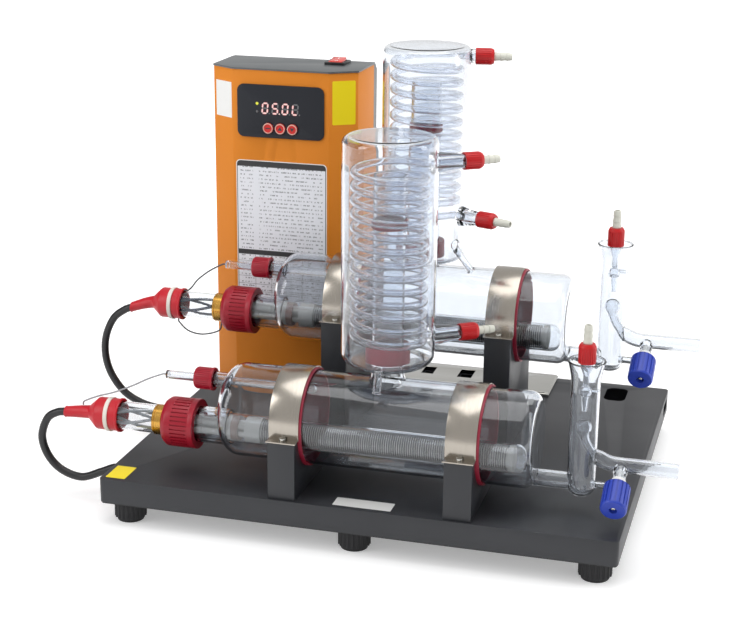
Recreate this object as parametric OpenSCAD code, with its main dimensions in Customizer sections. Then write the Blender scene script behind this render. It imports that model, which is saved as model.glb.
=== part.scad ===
// Double-stage glass water distiller on a steel base tray.
// Two glass boilers lie one behind the other, the rear one higher. Each carries a vertical
// glass condenser, a quartz-sheathed heater, a thermowell and a constant-level chamber.
// Millimetres. X runs right along the boilers, Y runs back, Z runs up.
// The origin is on the table, under the centre of the tray.

/* [Base tray] */
// Width of the tray
tray_w = 554; // [540:1:600]
// Depth of the tray
tray_d = 466; // [460:1:500]
// Height of the tray with its bottom plate
tray_h = 28; // [24:0.5:34]
// Thickness of the steel sheet
sheet_t = 1.5; // [1:0.1:2]
// Radius of the tray's upright corners
tray_corner_r = 5; // [4:0.5:8]
// Width of the hole in the deck at the right
deck_slot_w = 26; // [20:1:30]
// Depth of the hole in the deck at the right
deck_slot_d = 46; // [30:1:50]
// Length of the grip hole in the right skirt
grip_hole_l = 37; // [30:1:44]
// Height of the grip hole in the right skirt
grip_hole_h = 13; // [10:0.5:15]
// Width of the raised service plate behind the boilers
plate_w = 200; // [180:1:210]
// Depth of the raised service plate
plate_d = 72; // [66:1:73]
// Height of the raised service plate
plate_h = 6; // [4:0.5:8]

/* [Levelling feet] */
// Height of a foot under the tray
foot_h = 24; // [20:0.5:30]
// Diameter of a foot
foot_d = 34.5; // [30:0.5:40]
// Diameter of the threaded stud
stud_d = 8; // [6:0.5:10]
// Distance of a foot's axis from the edges of the tray
foot_inset = 25; // [23:0.5:30]
// Number of flutes round a foot
foot_flutes = 20; // [16:1:24]

/* [Boilers] */
// Outer diameter of a boiler
boiler_d = 100; // [96:0.5:104]
// Length of a boiler over its ends
boiler_l = 336; // [330:1:345]
// X of the middle of the boilers
boiler_x = 15; // [10:1:20]
// Y of the front boiler's axis
front_y = -168; // [-170:1:-160]
// Y of the rear boiler's axis
rear_y = 18; // [12:1:22]
// Height of the front boiler's axis over the deck
front_rise = 72; // [70:1:78]
// Height of the rear boiler's axis over the deck
rear_rise = 145.5; // [140:0.5:150]
// Wall of the glass
glass_t = 2.4; // [2:0.1:2.8]
// Distance of the heater below the boiler's axis
heater_drop = 23; // [22:0.5:24]
// Distance of the thermowell above the boiler's axis
well_rise = 30; // [29:0.5:32]

/* [Stands and bands] */
// Width of a stand along X
stand_w = 29; // [26:0.5:31]
// Half the depth of a stand
stand_half_d = 62; // [62:0.5:64]
// X of the left stands' middle
left_stand_x = -73; // [-80:1:-68]
// X of the right stands' middle
right_stand_x = 113; // [108:1:118]
// Width of a clamp band
band_w = 32; // [30:0.5:34]
// Thickness of a clamp band
band_t = 1.2; // [1:0.1:1.5]
// Width of the silicone liner under a band
liner_w = 37; // [35:0.5:40]
// Thickness of the silicone liner
liner_t = 1.8; // [1.5:0.1:2]
// Distance of the bands' ears below the boiler's axis
ear_drop = 9.4; // [8:0.2:12]

/* [Heaters] */
// Outer diameter of the quartz sheath
sheath_d = 31; // [30:0.5:32]
// Wall of the quartz sheath
sheath_t = 1.3; // [1.1:0.1:1.5]
// Diameter of the heating wire
heater_wire_d = 1.8; // [1.4:0.1:2]
// Number of turns of the heating wire
heater_turns = 20; // [16:1:20]
// Length of the winding
winding_l = 267; // [255:1:270]
// Length of a ceramic sleeve at each end of the winding
sleeve_l = 17; // [14:0.5:18]
// Length of the brass collar
brass_l = 13.5; // [11:0.5:16]
// Length of clear tube seen between the collar and the boot
lead_gap = 40; // [34:1:46]
// Outer diameter of the silicone boot
boot_d = 35.5; // [34:0.5:38]
// Length of the boot's wide part
boot_l = 27; // [24:0.5:32]
// Length of the boot's narrow sleeve
boot_sleeve_l = 31; // [26:0.5:36]
// Diameter of the mains cable
cable_d = 7.8; // [7:0.1:8.4]

/* [Screw caps] */
// Outer diameter of the large cap round the heater
large_cap_d = 54; // [53:0.5:56]
// Length of the large cap
large_cap_l = 37; // [34:0.5:38]
// Outer diameter of the thermowell cap
well_cap_d = 24; // [23.5:0.5:26]
// Length of the thermowell cap
well_cap_l = 21; // [19:0.5:22]
// Outer diameter of a small hose cap
hose_cap_d = 18; // [17:0.5:19]
// Length of a small hose cap
hose_cap_l = 20; // [18:0.5:22]
// Diameter of a hose barb at its root
barb_d = 9.6; // [9:0.1:10]
// Length of a hose barb
barb_l = 19; // [16:0.5:22]
// Diameter of the thermowell tube
well_d = 9.4; // [8.6:0.1:10]

/* [Condensers] */
// Outer diameter of a condenser jacket
jacket_d = 97; // [94:0.5:100]
// Height of a condenser jacket
jacket_h = 237; // [234:1:242]
// X of the front condenser's axis
front_condenser_x = 23; // [18:1:28]
// X of the rear condenser's axis
rear_condenser_x = 14; // [10:1:18]
// Gap between the front boiler's top and its jacket
front_gap = 18; // [16:0.5:20]
// Gap between the rear boiler's top and its jacket
rear_gap = 8.5; // [7:0.5:12]
// Outer diameter of the glass coil
coil_d = 81; // [78:0.5:82]
// Diameter of the coil's glass tube
coil_tube_d = 8; // [7:0.2:8.4]
// Height of one turn of the coil, before it is evened out between the ports
coil_pitch = 14; // [13.5:0.1:17]
// Height of the front coil's lower port over the jacket's bottom
front_port_z = 25; // [23:1:30]
// Depth of the front coil's upper port below the jacket's top
front_port_below = 31; // [25:1:39]
// Height of the rear coil's lower port over the jacket's bottom
rear_port_z = 54; // [44:1:56]
// Depth of the rear coil's upper port below the jacket's top
rear_port_below = 11; // [5:1:19]
// Diameter of the vapour riser
riser_d = 33; // [31:0.5:35]
// Distance of the riser's open top below the jacket's top
riser_below_top = 40; // [36:1:46]
// Outer diameter of the silicone bung round the riser
bung_d = 46; // [44:0.5:48]
// Height of the silicone bung
bung_h = 20; // [16:0.5:24]

/* [Level chambers] */
// X of a level chamber's axis
chamber_x = 228; // [226:1:232]
// Outer diameter of a level chamber
chamber_d = 29.4; // [29:0.2:31]
// Outer diameter of its flared mouth
mouth_d = 38; // [36:0.5:40]
// Height of the mouth over the boiler's axis
mouth_rise = 90; // [88:1:94]
// Distance of the chamber's bottom below the boiler's axis
chamber_drop = 54; // [53:0.5:56]
// Diameter of the tube from the boiler to the chamber
link_d = 18; // [17:0.5:19]
// Diameter of the overflow arm
arm_d = 16; // [15:0.5:17]
// X of the overflow arm's open end
arm_end_x = 325; // [318:1:332]
// Distance of the overflow arm below the boiler's axis
arm_drop = 17; // [16:0.5:18]
// Diameter of the stopcock knob
knob_d = 27; // [25:0.5:29]
// Length of the stopcock knob
knob_l = 31; // [28:0.5:34]
// Slope of the stopcock below the horizontal
stopcock_slope = 26; // [22:1:30]

/* [Control box] */
// Width of the control box
box_w = 177; // [174:1:182]
// Height of the control box over the deck
box_h = 396; // [385:1:405]
// X of the left side of the control box
box_x = -264; // [-266:1:-260]
// Y of the front face of the control box
box_y = 80; // [80:1:86]
// Width of a bevelled front corner
bevel_w = 29.7; // [26:0.5:32]
// Depth of a bevelled front corner
bevel_d = 19; // [16:0.5:22]
// Depth of the coloured cover
cover_d = 87; // [84:1:92]
// Depth of the dark rear pan behind the cover
pan_d = 13; // [10:0.5:16]
// Width of the black display panel
panel_w = 106; // [100:1:112]
// Height of the black display panel
panel_h = 62; // [58:1:66]
// Diameter of a push button
button_d = 12.4; // [11:0.2:13]
// Distance between two push buttons
button_pitch = 14.8; // [14.4:0.1:16]
// Width of the rocker switch frame
switch_w = 24; // [22:0.5:26]
// Depth of the rocker switch frame
switch_d = 29; // [27:0.5:31]

/* [Clearances] */
// Radial clearance of a turning part
run_fit = 0.08; // [0.05:0.01:0.1]
// Clearance between two seated parts
seat_fit = 0.2; // [0.15:0.01:0.28]
// Radial gap of a screw cap over its neck
thread_gap = 0.35; // [0.3:0.05:0.5]

/* [Hidden] */
$fn = 64;

// Levels and places that follow from the driving dimensions
deck_z = foot_h + tray_h;
front_z = deck_z + front_rise;
rear_z = deck_z + rear_rise;
boiler_r = boiler_d / 2;
boiler_left = boiler_x - boiler_l / 2;
boiler_right = boiler_x + boiler_l / 2;
left_shoulder_r = 20;
right_shoulder_r = 12;
liner_r = boiler_r + seat_fit + liner_t;
saddle_r = liner_r + seat_fit;
// How far a cut runs past the face it opens
cut_over = 1;

// Screw necks of the boiler
large_cap_right = boiler_left - 32;
large_cap_left = large_cap_right - large_cap_l;
large_neck_r = 19.5;
sheath_r = sheath_d / 2;
large_neck_end = large_cap_left + 9;
cap_end_wall = 3;
well_cap_right = boiler_left - 14;
well_cap_left = well_cap_right - well_cap_l;
well_neck_r = 8.6;
well_neck_end = well_cap_left + 6;
well_cap_wall = 2.4;

// Heater, along X from its boot to its inner end
brass_left = large_cap_left - seat_fit - brass_l;
boot_right = brass_left - lead_gap;
boot_left = boot_right - boot_l;
boot_cone_l = 10;
boot_end = boot_left - boot_cone_l - boot_sleeve_l;
winding_left = boiler_left + 40;
winding_right = winding_left + winding_l;
sheath_right = winding_right + sleeve_l + 5;
sheath_left = boot_left + 1;
sheath_bore_r = sheath_r - sheath_t;
brass_r = sheath_r + 1;

// Condensers, upwards from the boiler
front_jacket_z = front_z + boiler_r + front_gap;
rear_jacket_z = rear_z + boiler_r + rear_gap;
jacket_r = jacket_d / 2;
bung_r = bung_d / 2;
riser_r = riser_d / 2;
coil_mean_r = (coil_d - coil_tube_d) / 2;
coil_bend_r = 6;
coil_bend_angle = asin(coil_bend_r / (coil_mean_r + coil_bend_r));
coil_bend_start_r = (coil_mean_r + coil_bend_r) * cos(coil_bend_angle);
coil_end_r = jacket_r + 2;

// Side ports, lower one first: direction anticlockwise from +X, height over the jacket's
// bottom, and how far the neck's root stands out of the jacket
front_ports = [[35, front_port_z, 30], [35, jacket_h - front_port_below, 30]];
rear_ports = [[-20, rear_port_z, 23], [10, jacket_h - rear_port_below, 3.5]];
// Outlet tubes: direction, start from the jacket's axis and bottom, tilt and length
front_outlet = [-90, 34, 8, 17, 29];
rear_outlet = [-30, 43, 23, 50, 38];
hose_neck_r = 6.2;
hose_neck_l = hose_cap_l - 4;
hose_bore_r = coil_tube_d / 2 + seat_fit;

// Stopcock, along its own axis from the overflow arm
stopcock_x = 268;
barrel_l = 21;
stem_collar_l = 8.5;
barrel_r = 6.5;

// Control box
box_right = box_x + box_w;
box_top = deck_z + box_h;
cover_back = box_y + cover_d;
top_plate_t = 2;
panel_x = box_x + box_w / 2 + 0.5;
panel_z = box_top - 18.5 - panel_h / 2;
panel_t = 2;
button_z = box_top - 69;
button_travel = 1;
button_proud = 2.4;
switch_x = box_x + 138;
switch_y = box_y + 66;

// Cables and wires, as points chosen along their routes
grommet_x = -tray_w / 2 - 3;
front_cable_y = front_y;
rear_cable_y = rear_y;
cable_entry_z = foot_h + 14;
front_cable_route = [
    [boot_end, front_y, front_z - heater_drop], [boot_end - 8, front_y, front_z - heater_drop],
    [-366, front_y, 90], [-374, front_y, 66], [-368, front_y, 44], [-352, front_y, 28],
    [-328, front_y, 22], [-304, front_y, 31], [grommet_x - 8, front_y, cable_entry_z],
    [grommet_x, front_y, cable_entry_z]
];
rear_cable_route = [
    [boot_end, rear_y, rear_z - heater_drop], [boot_end - 8, rear_y, rear_z - heater_drop],
    [-368, rear_y, 158], [-379, rear_y, 130], [-381, rear_y, 102], [-373, rear_y, 77],
    [-357, rear_y, 56], [-335, rear_y, 44], [-310, rear_y, 39],
    [grommet_x - 8, rear_y, cable_entry_z], [grommet_x, rear_y, cable_entry_z]
];

// ---------- shared shapes ----------

// Rectangle with round corners, centred
module rounded_rect(w, d, r) {
    square([w - 2 * r, d], center = true);
    square([w, d - 2 * r], center = true);
    for (sx = [-1, 1], sy = [-1, 1])
        translate([sx * (w / 2 - r), sy * (d / 2 - r)]) circle(r);
}

// Upright block with round corners, its bottom at z
module rounded_block(w, d, z, h, r) {
    translate([0, 0, z]) linear_extrude(h) rounded_rect(w, d, r);
}

// Cylinder along X from x0 to x1
module rod_x(x0, x1, y, z, r) {
    translate([x0, y, z]) rotate([0, 90, 0]) cylinder(h = x1 - x0, r = r);
}

// Upright cylinder from z0 to z1
module post_z(x, y, z0, z1, r) {
    translate([x, y, z0]) cylinder(h = z1 - z0, r = r);
}

// Can with rounded bottom and top edges, from z = 0 to h
module round_can(r, h, bottom_r, top_r) {
    rotate_extrude() {
        translate([0, bottom_r]) square([r, h - bottom_r - top_r]);
        square([r - bottom_r, bottom_r + 0.5]);
        translate([0, h - top_r - 0.5]) square([r - top_r, top_r + 0.5]);
        translate([r - bottom_r, bottom_r]) circle(bottom_r);
        translate([r - top_r, h - top_r]) circle(top_r);
    }
}

// Places a shape drawn upwards so that it points along the level direction angle
module radial(x, y, z, angle) {
    translate([x, y, z]) rotate([0, 0, angle]) rotate([0, 90, 0]) children();
}

// Flutes cut round a knob or a cap that stands upwards
module flutes(r, z0, z1, count, depth) {
    for (i = [0:count - 1])
        rotate([0, 0, i * 360 / count])
            translate([r + depth * 0.6, 0, z0]) cylinder(h = z1 - z0, r = depth * 1.6, $fn = 20);
}

// ---------- tubes swept along a route ----------

function unit(v) = v / norm(v);

function tangent(p, i) =
    i == 0 ? unit(p[1] - p[0]) :
    i == len(p) - 1 ? unit(p[i] - p[i - 1]) :
    unit(unit(p[i + 1] - p[i]) + unit(p[i] - p[i - 1]));

// Direction across the tube at each point, carried along without twisting
function across(p, first) =
    [for (i = 0, n = unit(first - (first * tangent(p, 0)) * tangent(p, 0)); i < len(p);
        i = i + 1,
        n = i < len(p) ? let (t = tangent(p, i)) unit(n - (n * t) * t) : n) n];

// Points on a smooth curve through the chosen ones, two spans between each two.
// The first and the last span stay straight.
function smooth(p) =
    let (m = len(p) - 1)
    concat(
        [p[0]],
        [for (i = [1:m - 2], t = [0, 0.5])
            let (a = p[i - 1], b = p[i], c = p[i + 1], d = p[i + 2])
            0.5 * (2 * b + (c - a) * t + (2 * a - 5 * b + 4 * c - d) * t * t
                + (3 * b - a - 3 * c + d) * t * t * t)],
        [p[m - 1], p[m]]);

module swept_tube(p, r, sides, first) {
    n = across(p, first);
    rings = [for (i = [0:len(p) - 1], k = [0:sides - 1])
        let (a = k * 360 / sides, t = tangent(p, i))
        p[i] + r * (cos(a) * n[i] + sin(a) * cross(t, n[i]))];
    last = (len(p) - 1) * sides;
    walls = [for (i = [0:len(p) - 2], k = [0:sides - 1], half = [0, 1])
        let (a = i * sides + k, b = i * sides + (k + 1) % sides)
        half == 0 ? [a, a + sides, b + sides] : [a, b + sides, b]];
    start_cap = [for (k = [1:sides - 2]) [0, k, k + 1]];
    end_cap = [for (k = [1:sides - 2]) [last, last + k + 1, last + k]];
    polyhedron(rings, concat(walls, start_cap, end_cap));
}

// Least gap between the walls of a wound tube's turns, from points a good part of a turn apart
function least_gap(p, skip, d) =
    min([for (i = [0:len(p) - 1 - skip]) min([for (j = [i + skip:len(p) - 1]) norm(p[i] - p[j])])]) - d;

// ---------- base ----------

foot_places = [for (sy = [-1, 1], sx = [-1, 0, 1])
    [sx * (tray_w / 2 - foot_inset), sy * (tray_d / 2 - foot_inset)]];
tray_z = foot_h + sheet_t;
skirt_h = tray_h - sheet_t;
flange_w = 12;
slot_x = tray_w / 2 - 60;
slot_y = tray_d / 2 - 38;
grip_hole_y = tray_d / 2 - 33.5;
plate_x = 40;
plate_y = tray_d / 2 - plate_d / 2 - 3;
grommet_hole_r = 6;

// Two square-cornered cut-outs through the service plate and the deck
module service_cuts(z0, z1) {
    for (hole = [[-60, 15, 26], [-12, 18, 30]])
        translate([plate_x + hole[0] - hole[1] / 2, plate_y - hole[2] / 2 + 6, z0])
            cube([hole[1], hole[2], z1 - z0]);
}

module base_tray() {
    color("#3f4145") difference() {
        rounded_block(tray_w, tray_d, tray_z, skirt_h, tray_corner_r);
        rounded_block(tray_w - 2 * sheet_t, tray_d - 2 * sheet_t, tray_z + sheet_t,
            skirt_h - 2 * sheet_t, tray_corner_r - sheet_t);
        rounded_block(tray_w - 2 * flange_w, tray_d - 2 * flange_w, tray_z - cut_over,
            sheet_t + 2 * cut_over, tray_corner_r);
        translate([slot_x, slot_y, 0])
            rounded_block(deck_slot_w, deck_slot_d, deck_z - sheet_t - cut_over,
                sheet_t + 2 * cut_over, 9);
        translate([tray_w / 2 - sheet_t - cut_over, grip_hole_y, tray_z + skirt_h / 2])
            rotate([0, 90, 0])
                linear_extrude(sheet_t + 2 * cut_over)
                    rounded_rect(grip_hole_h, grip_hole_l, grip_hole_h / 2 - 0.1);
        service_cuts(deck_z - sheet_t - cut_over, deck_z + cut_over);
        for (y = [front_cable_y, rear_cable_y])
            rod_x(-tray_w / 2 - cut_over, -tray_w / 2 + sheet_t + cut_over, y, cable_entry_z,
                grommet_hole_r);
    }
}

module bottom_plate() {
    color("#2f3033") difference() {
        union() {
            rounded_block(tray_w - 2, tray_d - 2, foot_h, sheet_t, tray_corner_r - 1);
            for (p = foot_places)
                post_z(p[0], p[1], foot_h + sheet_t / 2, foot_h + sheet_t + 7, stud_d, $fn = 6);
        }
        for (p = foot_places)
            post_z(p[0], p[1], foot_h - cut_over, foot_h + 20, stud_d / 2 + run_fit);
    }
}

module service_plate() {
    edge = plate_h - sheet_t;
    color("#d9d8d2") difference() {
        translate([plate_x, plate_y, deck_z]) union() {
            linear_extrude(edge) rounded_rect(plate_w, plate_d, 2);
            linear_extrude(plate_h) rounded_rect(plate_w - 3, plate_d - 3, 1.5);
        }
        translate([plate_x, plate_y, deck_z - cut_over])
            linear_extrude(edge - sheet_t + cut_over)
                rounded_rect(plate_w - 2 * sheet_t, plate_d - 2 * sheet_t, 1);
        service_cuts(deck_z - cut_over, deck_z + plate_h + cut_over);
    }
}

// Rubber grommets in the left skirt; the cable meets each one's outer face
module cable_grommets() {
    groove_x = -tray_w / 2;
    color("#1c1c1e")
        for (y = [front_cable_y, rear_cable_y])
            union() {
                rod_x(grommet_x, groove_x, y, cable_entry_z, 8);
                rod_x(groove_x - 0.5, groove_x + sheet_t + 0.5, y, cable_entry_z,
                    grommet_hole_r - seat_fit);
                rod_x(groove_x + sheet_t, groove_x + sheet_t + 2, y, cable_entry_z, 8);
            }
}

// A fluted levelling foot with its stud
module foot(i) {
    place = foot_places[i];
    sole_h = 4;
    color("#161617") translate([place[0], place[1], 0]) union() {
        cylinder(h = sole_h + 0.5, r = foot_d / 2 - 3);
        difference() {
            post_z(0, 0, sole_h, foot_h - seat_fit, foot_d / 2);
            flutes(foot_d / 2, sole_h - cut_over, foot_h - 3, foot_flutes, 1.2);
        }
        post_z(0, 0, foot_h - 1, foot_h + 14, stud_d / 2);
    }
}

// ---------- stands and bands ----------

stand_places = [
    [left_stand_x, front_y, front_z], [right_stand_x, front_y, front_z],
    [left_stand_x, rear_y, rear_z], [right_stand_x, rear_y, rear_z]
];
ear_out = stand_half_d + 2;
stand_wall = 2;
screw_y = (saddle_r + stand_half_d) / 2 - 0.6;
screw_r = 1.9;
screw_nut_r = 3.1;

// A folded sheet stand with a saddle for the boiler
module stand(p) {
    top = p[2] - ear_drop;
    wall = stand_wall;
    difference() {
        translate([p[0] - stand_w / 2, p[1] - stand_half_d, deck_z])
            cube([stand_w, 2 * stand_half_d, top - deck_z]);
        difference() {
            translate([p[0] - stand_w / 2 + wall, p[1] - stand_half_d + wall, deck_z - 1])
                cube([stand_w - 2 * wall, 2 * (stand_half_d - wall), top - wall - deck_z + 1]);
            rod_x(p[0] - stand_w, p[0] + stand_w, p[1], p[2], saddle_r + wall);
        }
        rod_x(p[0] - stand_w, p[0] + stand_w, p[1], p[2], saddle_r);
        for (s = [-1, 1])
            post_z(p[0], p[1] + s * screw_y, top - 6, top + 1, screw_r + seat_fit, $fn = 24);
    }
}

module boiler_stands() {
    color("#3f4145") for (p = stand_places) stand(p);
}

// A stainless band over the boiler with an ear at each end
module clamp_band(p) {
    ear_z = p[2] - ear_drop;
    difference() {
        union() {
            intersection() {
                rod_x(p[0] - band_w / 2, p[0] + band_w / 2, p[1], p[2], saddle_r + band_t);
                translate([p[0] - band_w, p[1] - 100, ear_z]) cube([2 * band_w, 200, 200]);
            }
            translate([p[0] - band_w / 2, p[1] - ear_out, ear_z]) cube([band_w, 2 * ear_out, band_t]);
        }
        rod_x(p[0] - band_w, p[0] + band_w, p[1], p[2], saddle_r);
        for (s = [-1, 1])
            post_z(p[0], p[1] + s * screw_y, ear_z - 1, ear_z + 3, screw_r + seat_fit, $fn = 24);
    }
}

module clamp_bands() {
    color("#c9c7c0") for (p = stand_places) clamp_band(p);
}

module band_liners() {
    color("#b01f3a")
        for (p = stand_places)
            difference() {
                rod_x(p[0] - liner_w / 2, p[0] + liner_w / 2, p[1], p[2], liner_r);
                rod_x(p[0] - liner_w, p[0] + liner_w, p[1], p[2], liner_r - liner_t);
            }
}

module band_screws() {
    color("#d5d5d2")
        for (p = stand_places, s = [-1, 1])
            translate([p[0], p[1] + s * screw_y, p[2] - ear_drop]) difference() {
                union() {
                    post_z(0, 0, -9, band_t + 0.5, screw_r, $fn = 24);
                    post_z(0, 0, band_t, band_t + 2.4, 3.4, $fn = 32);
                    post_z(0, 0, -7, -stand_wall - 0.1, screw_nut_r, $fn = 32);
                }
                translate([-3.4, -0.5, band_t + 1.5]) cube([6.8, 1, 2]);
            }
}

// ---------- glass vessels ----------

// Body of a boiler drawn along X; shrink gives the hollow
module vessel(y, z, shrink) {
    translate([boiler_left + shrink, y, z]) rotate([0, 90, 0])
        round_can(boiler_r - shrink, boiler_l - 2 * shrink, left_shoulder_r - shrink,
            right_shoulder_r - shrink);
}

// Boiler with its screw necks, its link stub and its vapour riser
module boiler(y, z, riser_x, jacket_z) {
    riser_top = jacket_z + jacket_h - riser_below_top;
    neck_root = z + boiler_r * 0.87;
    flare_top = jacket_z - 2;
    stub_end = boiler_right + 9;
    difference() {
        union() {
            vessel(y, z, 0);
            rod_x(large_neck_end, boiler_left + 12, y, z - heater_drop, large_neck_r);
            rod_x(well_neck_end, boiler_left + 12, y, z + well_rise, well_neck_r);
            rod_x(boiler_right - 6, stub_end, y, z - chamber_drop + link_d / 2 + 5, link_d / 2);
            translate([riser_x, y, neck_root]) cylinder(h = flare_top - neck_root, r1 = 22, r2 = riser_r);
            post_z(riser_x, y, flare_top - 0.5, riser_top, riser_r);
        }
        vessel(y, z, glass_t);
        rod_x(large_neck_end - 1, boiler_left + 14, y, z - heater_drop, large_neck_r - glass_t);
        rod_x(well_neck_end - 1, boiler_left + 14, y, z + well_rise, well_neck_r - 1.8);
        rod_x(boiler_right - 8, stub_end + 1, y, z - chamber_drop + link_d / 2 + 5, link_d / 2 - 1.8);
        translate([riser_x, y, neck_root - 0.5])
            cylinder(h = flare_top - neck_root + 0.5, r1 = 22 - 1.8, r2 = riser_r - 1.8);
        post_z(riser_x, y, flare_top - 1, riser_top + 1, riser_r - 1.8);
    }
}

module front_boiler() {
    color("#d8e6ee") boiler(front_y, front_z, front_condenser_x, front_jacket_z);
}

module rear_boiler() {
    color("#d8e6ee") boiler(rear_y, rear_z, rear_condenser_x, rear_jacket_z);
}

// Centre line of the overflow bend, in the chamber's own frame
arm_bend_r = 36;
overflow_top = 27;
feed_cap_z = mouth_rise - 2;

// Overflow tube from its mouth inside the chamber, round a bend and out to the right
module overflow_run(r) {
    post_z(0, 0, -arm_drop + arm_bend_r, overflow_top, r);
    translate([arm_bend_r, 0, -arm_drop + arm_bend_r]) rotate([90, 0, 0]) rotate([0, 0, 180])
        rotate_extrude(angle = 90) translate([arm_bend_r, 0]) circle(r);
    rod_x(arm_bend_r, arm_end_x - chamber_x, 0, -arm_drop, r);
}

// Places a shape drawn upwards along the stopcock's axis
module along_stopcock() {
    translate([stopcock_x - chamber_x, 0, -arm_drop])
        rotate([90 + stopcock_slope, 0, 0]) children();
}

drain_z = -chamber_drop + 13;
drain_elbow = [stopcock_x - chamber_x - 5, 0, drain_z];
drain_end = [stopcock_x - chamber_x, -14 * cos(stopcock_slope), -arm_drop - 14 * sin(stopcock_slope)];

// Drain tube from the chamber's foot to the stopcock barrel
module drain_run(r) {
    rod_x(chamber_d / 2 - 5, drain_elbow[0], 0, drain_z, r);
    translate(drain_elbow) sphere(r * 1.2);
    span = drain_end - drain_elbow;
    translate(drain_elbow)
        rotate([0, acos(span[2] / norm(span)), atan2(span[1], span[0])])
            cylinder(h = norm(span), r = r);
}

// Drip tube hung in the chamber: threaded neck, thin tube, bulb and nozzle
module feed_run(shrink) {
    post_z(0, 0, feed_cap_z - 4, feed_cap_z + hose_neck_l, hose_neck_r - shrink);
    translate([0, 0, feed_cap_z - 12]) cylinder(h = 8.1, r1 = 3 - shrink / 2, r2 = hose_neck_r - shrink);
    post_z(0, 0, 62, feed_cap_z - 11.5, 3 - shrink / 2);
    translate([0, 0, 58]) sphere(6.4 - shrink, $fn = 40);
    translate([0, 0, 37]) cylinder(h = 17, r1 = 2.6 - shrink / 2, r2 = 4 - shrink);
}

// Chamber wall with its round bottom and flared mouth; shrink gives the hollow
module chamber_wall(shrink) {
    r = chamber_d / 2 - shrink;
    corner = chamber_d * 0.4 - shrink;
    bottom = -chamber_drop + shrink;
    flare_z = mouth_rise - 24;
    mouth_r = mouth_d / 2 - shrink;
    top = mouth_rise + (shrink > 0 ? cut_over : 0);
    rotate_extrude() {
        translate([0, bottom + corner]) square([r, flare_z - bottom - corner]);
        translate([0, bottom]) square([r - corner, corner + 0.5]);
        intersection() {
            translate([r - corner, bottom + corner]) circle(corner);
            translate([0, bottom]) square([r, 2 * corner]);
        }
        polygon([[0, flare_z], [r, flare_z], [mouth_r, mouth_rise], [mouth_r, top], [0, top]]);
    }
}

module level_chamber(y, z) {
    wall = 1.8;
    link_left = boiler_right + 9 - chamber_x;
    link_z = -chamber_drop + link_d / 2 + 5;
    strut_z = 60;
    translate([chamber_x, y, z]) difference() {
        union() {
            difference() {
                union() {
                    chamber_wall(0);
                    rod_x(link_left, -chamber_d / 2 + 5, 0, link_z, link_d / 2);
                    translate([0, 0, mouth_rise - 1]) rotate_extrude()
                        translate([mouth_d / 2 - wall / 2, 0]) circle(wall / 2 + 0.4, $fn = 24);
                }
                chamber_wall(wall);
            }
            overflow_run(arm_d / 2);
            drain_run(3.8);
            along_stopcock() cylinder(h = barrel_l, r = barrel_r);
            along_stopcock() translate([0, 0, 8]) sphere(7.6);
            feed_run(0);
            rod_x(0, chamber_d / 2 - wall / 2, 0, strut_z, 2, $fn = 24);
        }
        rod_x(link_left - 1, -chamber_d / 2 + 4, 0, link_z, link_d / 2 - wall);
        overflow_run(arm_d / 2 - 1.6);
        drain_run(2.3);
        along_stopcock() translate([0, 0, 4]) cylinder(h = barrel_l, r = stem_r + run_fit);
        feed_run(1.6);
        post_z(0, 0, feed_cap_z, feed_cap_z + hose_neck_l + 1, hose_neck_r - 1.6);
        post_z(0, 0, 35, 50, 1.6, $fn = 24);
    }
}

module front_level_chamber() {
    color("#d8e6ee") level_chamber(front_y, front_z);
}

module rear_level_chamber() {
    color("#d8e6ee") level_chamber(rear_y, rear_z);
}

// ---------- small hose caps and barbs, drawn upwards from the cap's open end ----------

cap_top_wall = 2;
barb_stem_r = barb_d / 2 - 0.9;

module hose_cap() {
    difference() {
        union() {
            cylinder(h = hose_cap_l - 3, r = hose_cap_d / 2);
            translate([0, 0, hose_cap_l - 3])
                cylinder(h = 3, r1 = hose_cap_d / 2, r2 = hose_cap_d / 2 - 1.6);
        }
        flutes(hose_cap_d / 2, 2, hose_cap_l + 1, 16, 0.6);
        translate([0, 0, -1])
            cylinder(h = hose_cap_l - cap_top_wall + 1, r = hose_neck_r + thread_gap);
        cylinder(h = hose_cap_l + 1, r = barb_stem_r + run_fit);
    }
}

module hose_barb() {
    flange_z = hose_neck_l;
    flange_top = hose_cap_l - cap_top_wall - seat_fit;
    difference() {
        union() {
            translate([0, 0, flange_z]) cylinder(h = flange_top - flange_z, r = hose_neck_r - 0.2);
            post_z(0, 0, flange_top - 0.5, hose_cap_l + 2, barb_stem_r);
            for (i = [0:2])
                translate([0, 0, hose_cap_l + seat_fit + i * barb_l / 3])
                    cylinder(h = barb_l / 3 + 0.01, r1 = barb_d / 2 - i * 0.2,
                        r2 = barb_d / 2 - 0.7 - i * 0.2);
        }
        cylinder(h = hose_cap_l + barb_l + 2, r = 2.4, $fn = 32);
    }
}

module feed_cap_place(y, z) {
    translate([chamber_x, y, z + feed_cap_z + seat_fit]) children();
}

module front_feed_cap() {
    color("#c8232f") feed_cap_place(front_y, front_z) hose_cap();
}

module rear_feed_cap() {
    color("#c8232f") feed_cap_place(rear_y, rear_z) hose_cap();
}

module feed_barbs() {
    color("#dcdcd2") {
        feed_cap_place(front_y, front_z) hose_barb();
        feed_cap_place(rear_y, rear_z) hose_barb();
    }
}

// ---------- stopcocks, drawn along their own axis ----------

stem_r = 4.2;
stem_tail_r = 3;
knob_start = barrel_l + stem_collar_l + 2 * seat_fit;

module stopcock_stem() {
    collar_z = barrel_l + seat_fit;
    translate([0, 0, 6]) cylinder(h = 5.1, r1 = 1.2, r2 = stem_r);
    post_z(0, 0, 11, collar_z + 1, stem_r);
    post_z(0, 0, collar_z, collar_z + stem_collar_l, barrel_r + 0.6);
    post_z(0, 0, collar_z + 1, knob_start + knob_l - 8, stem_tail_r);
}

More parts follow.
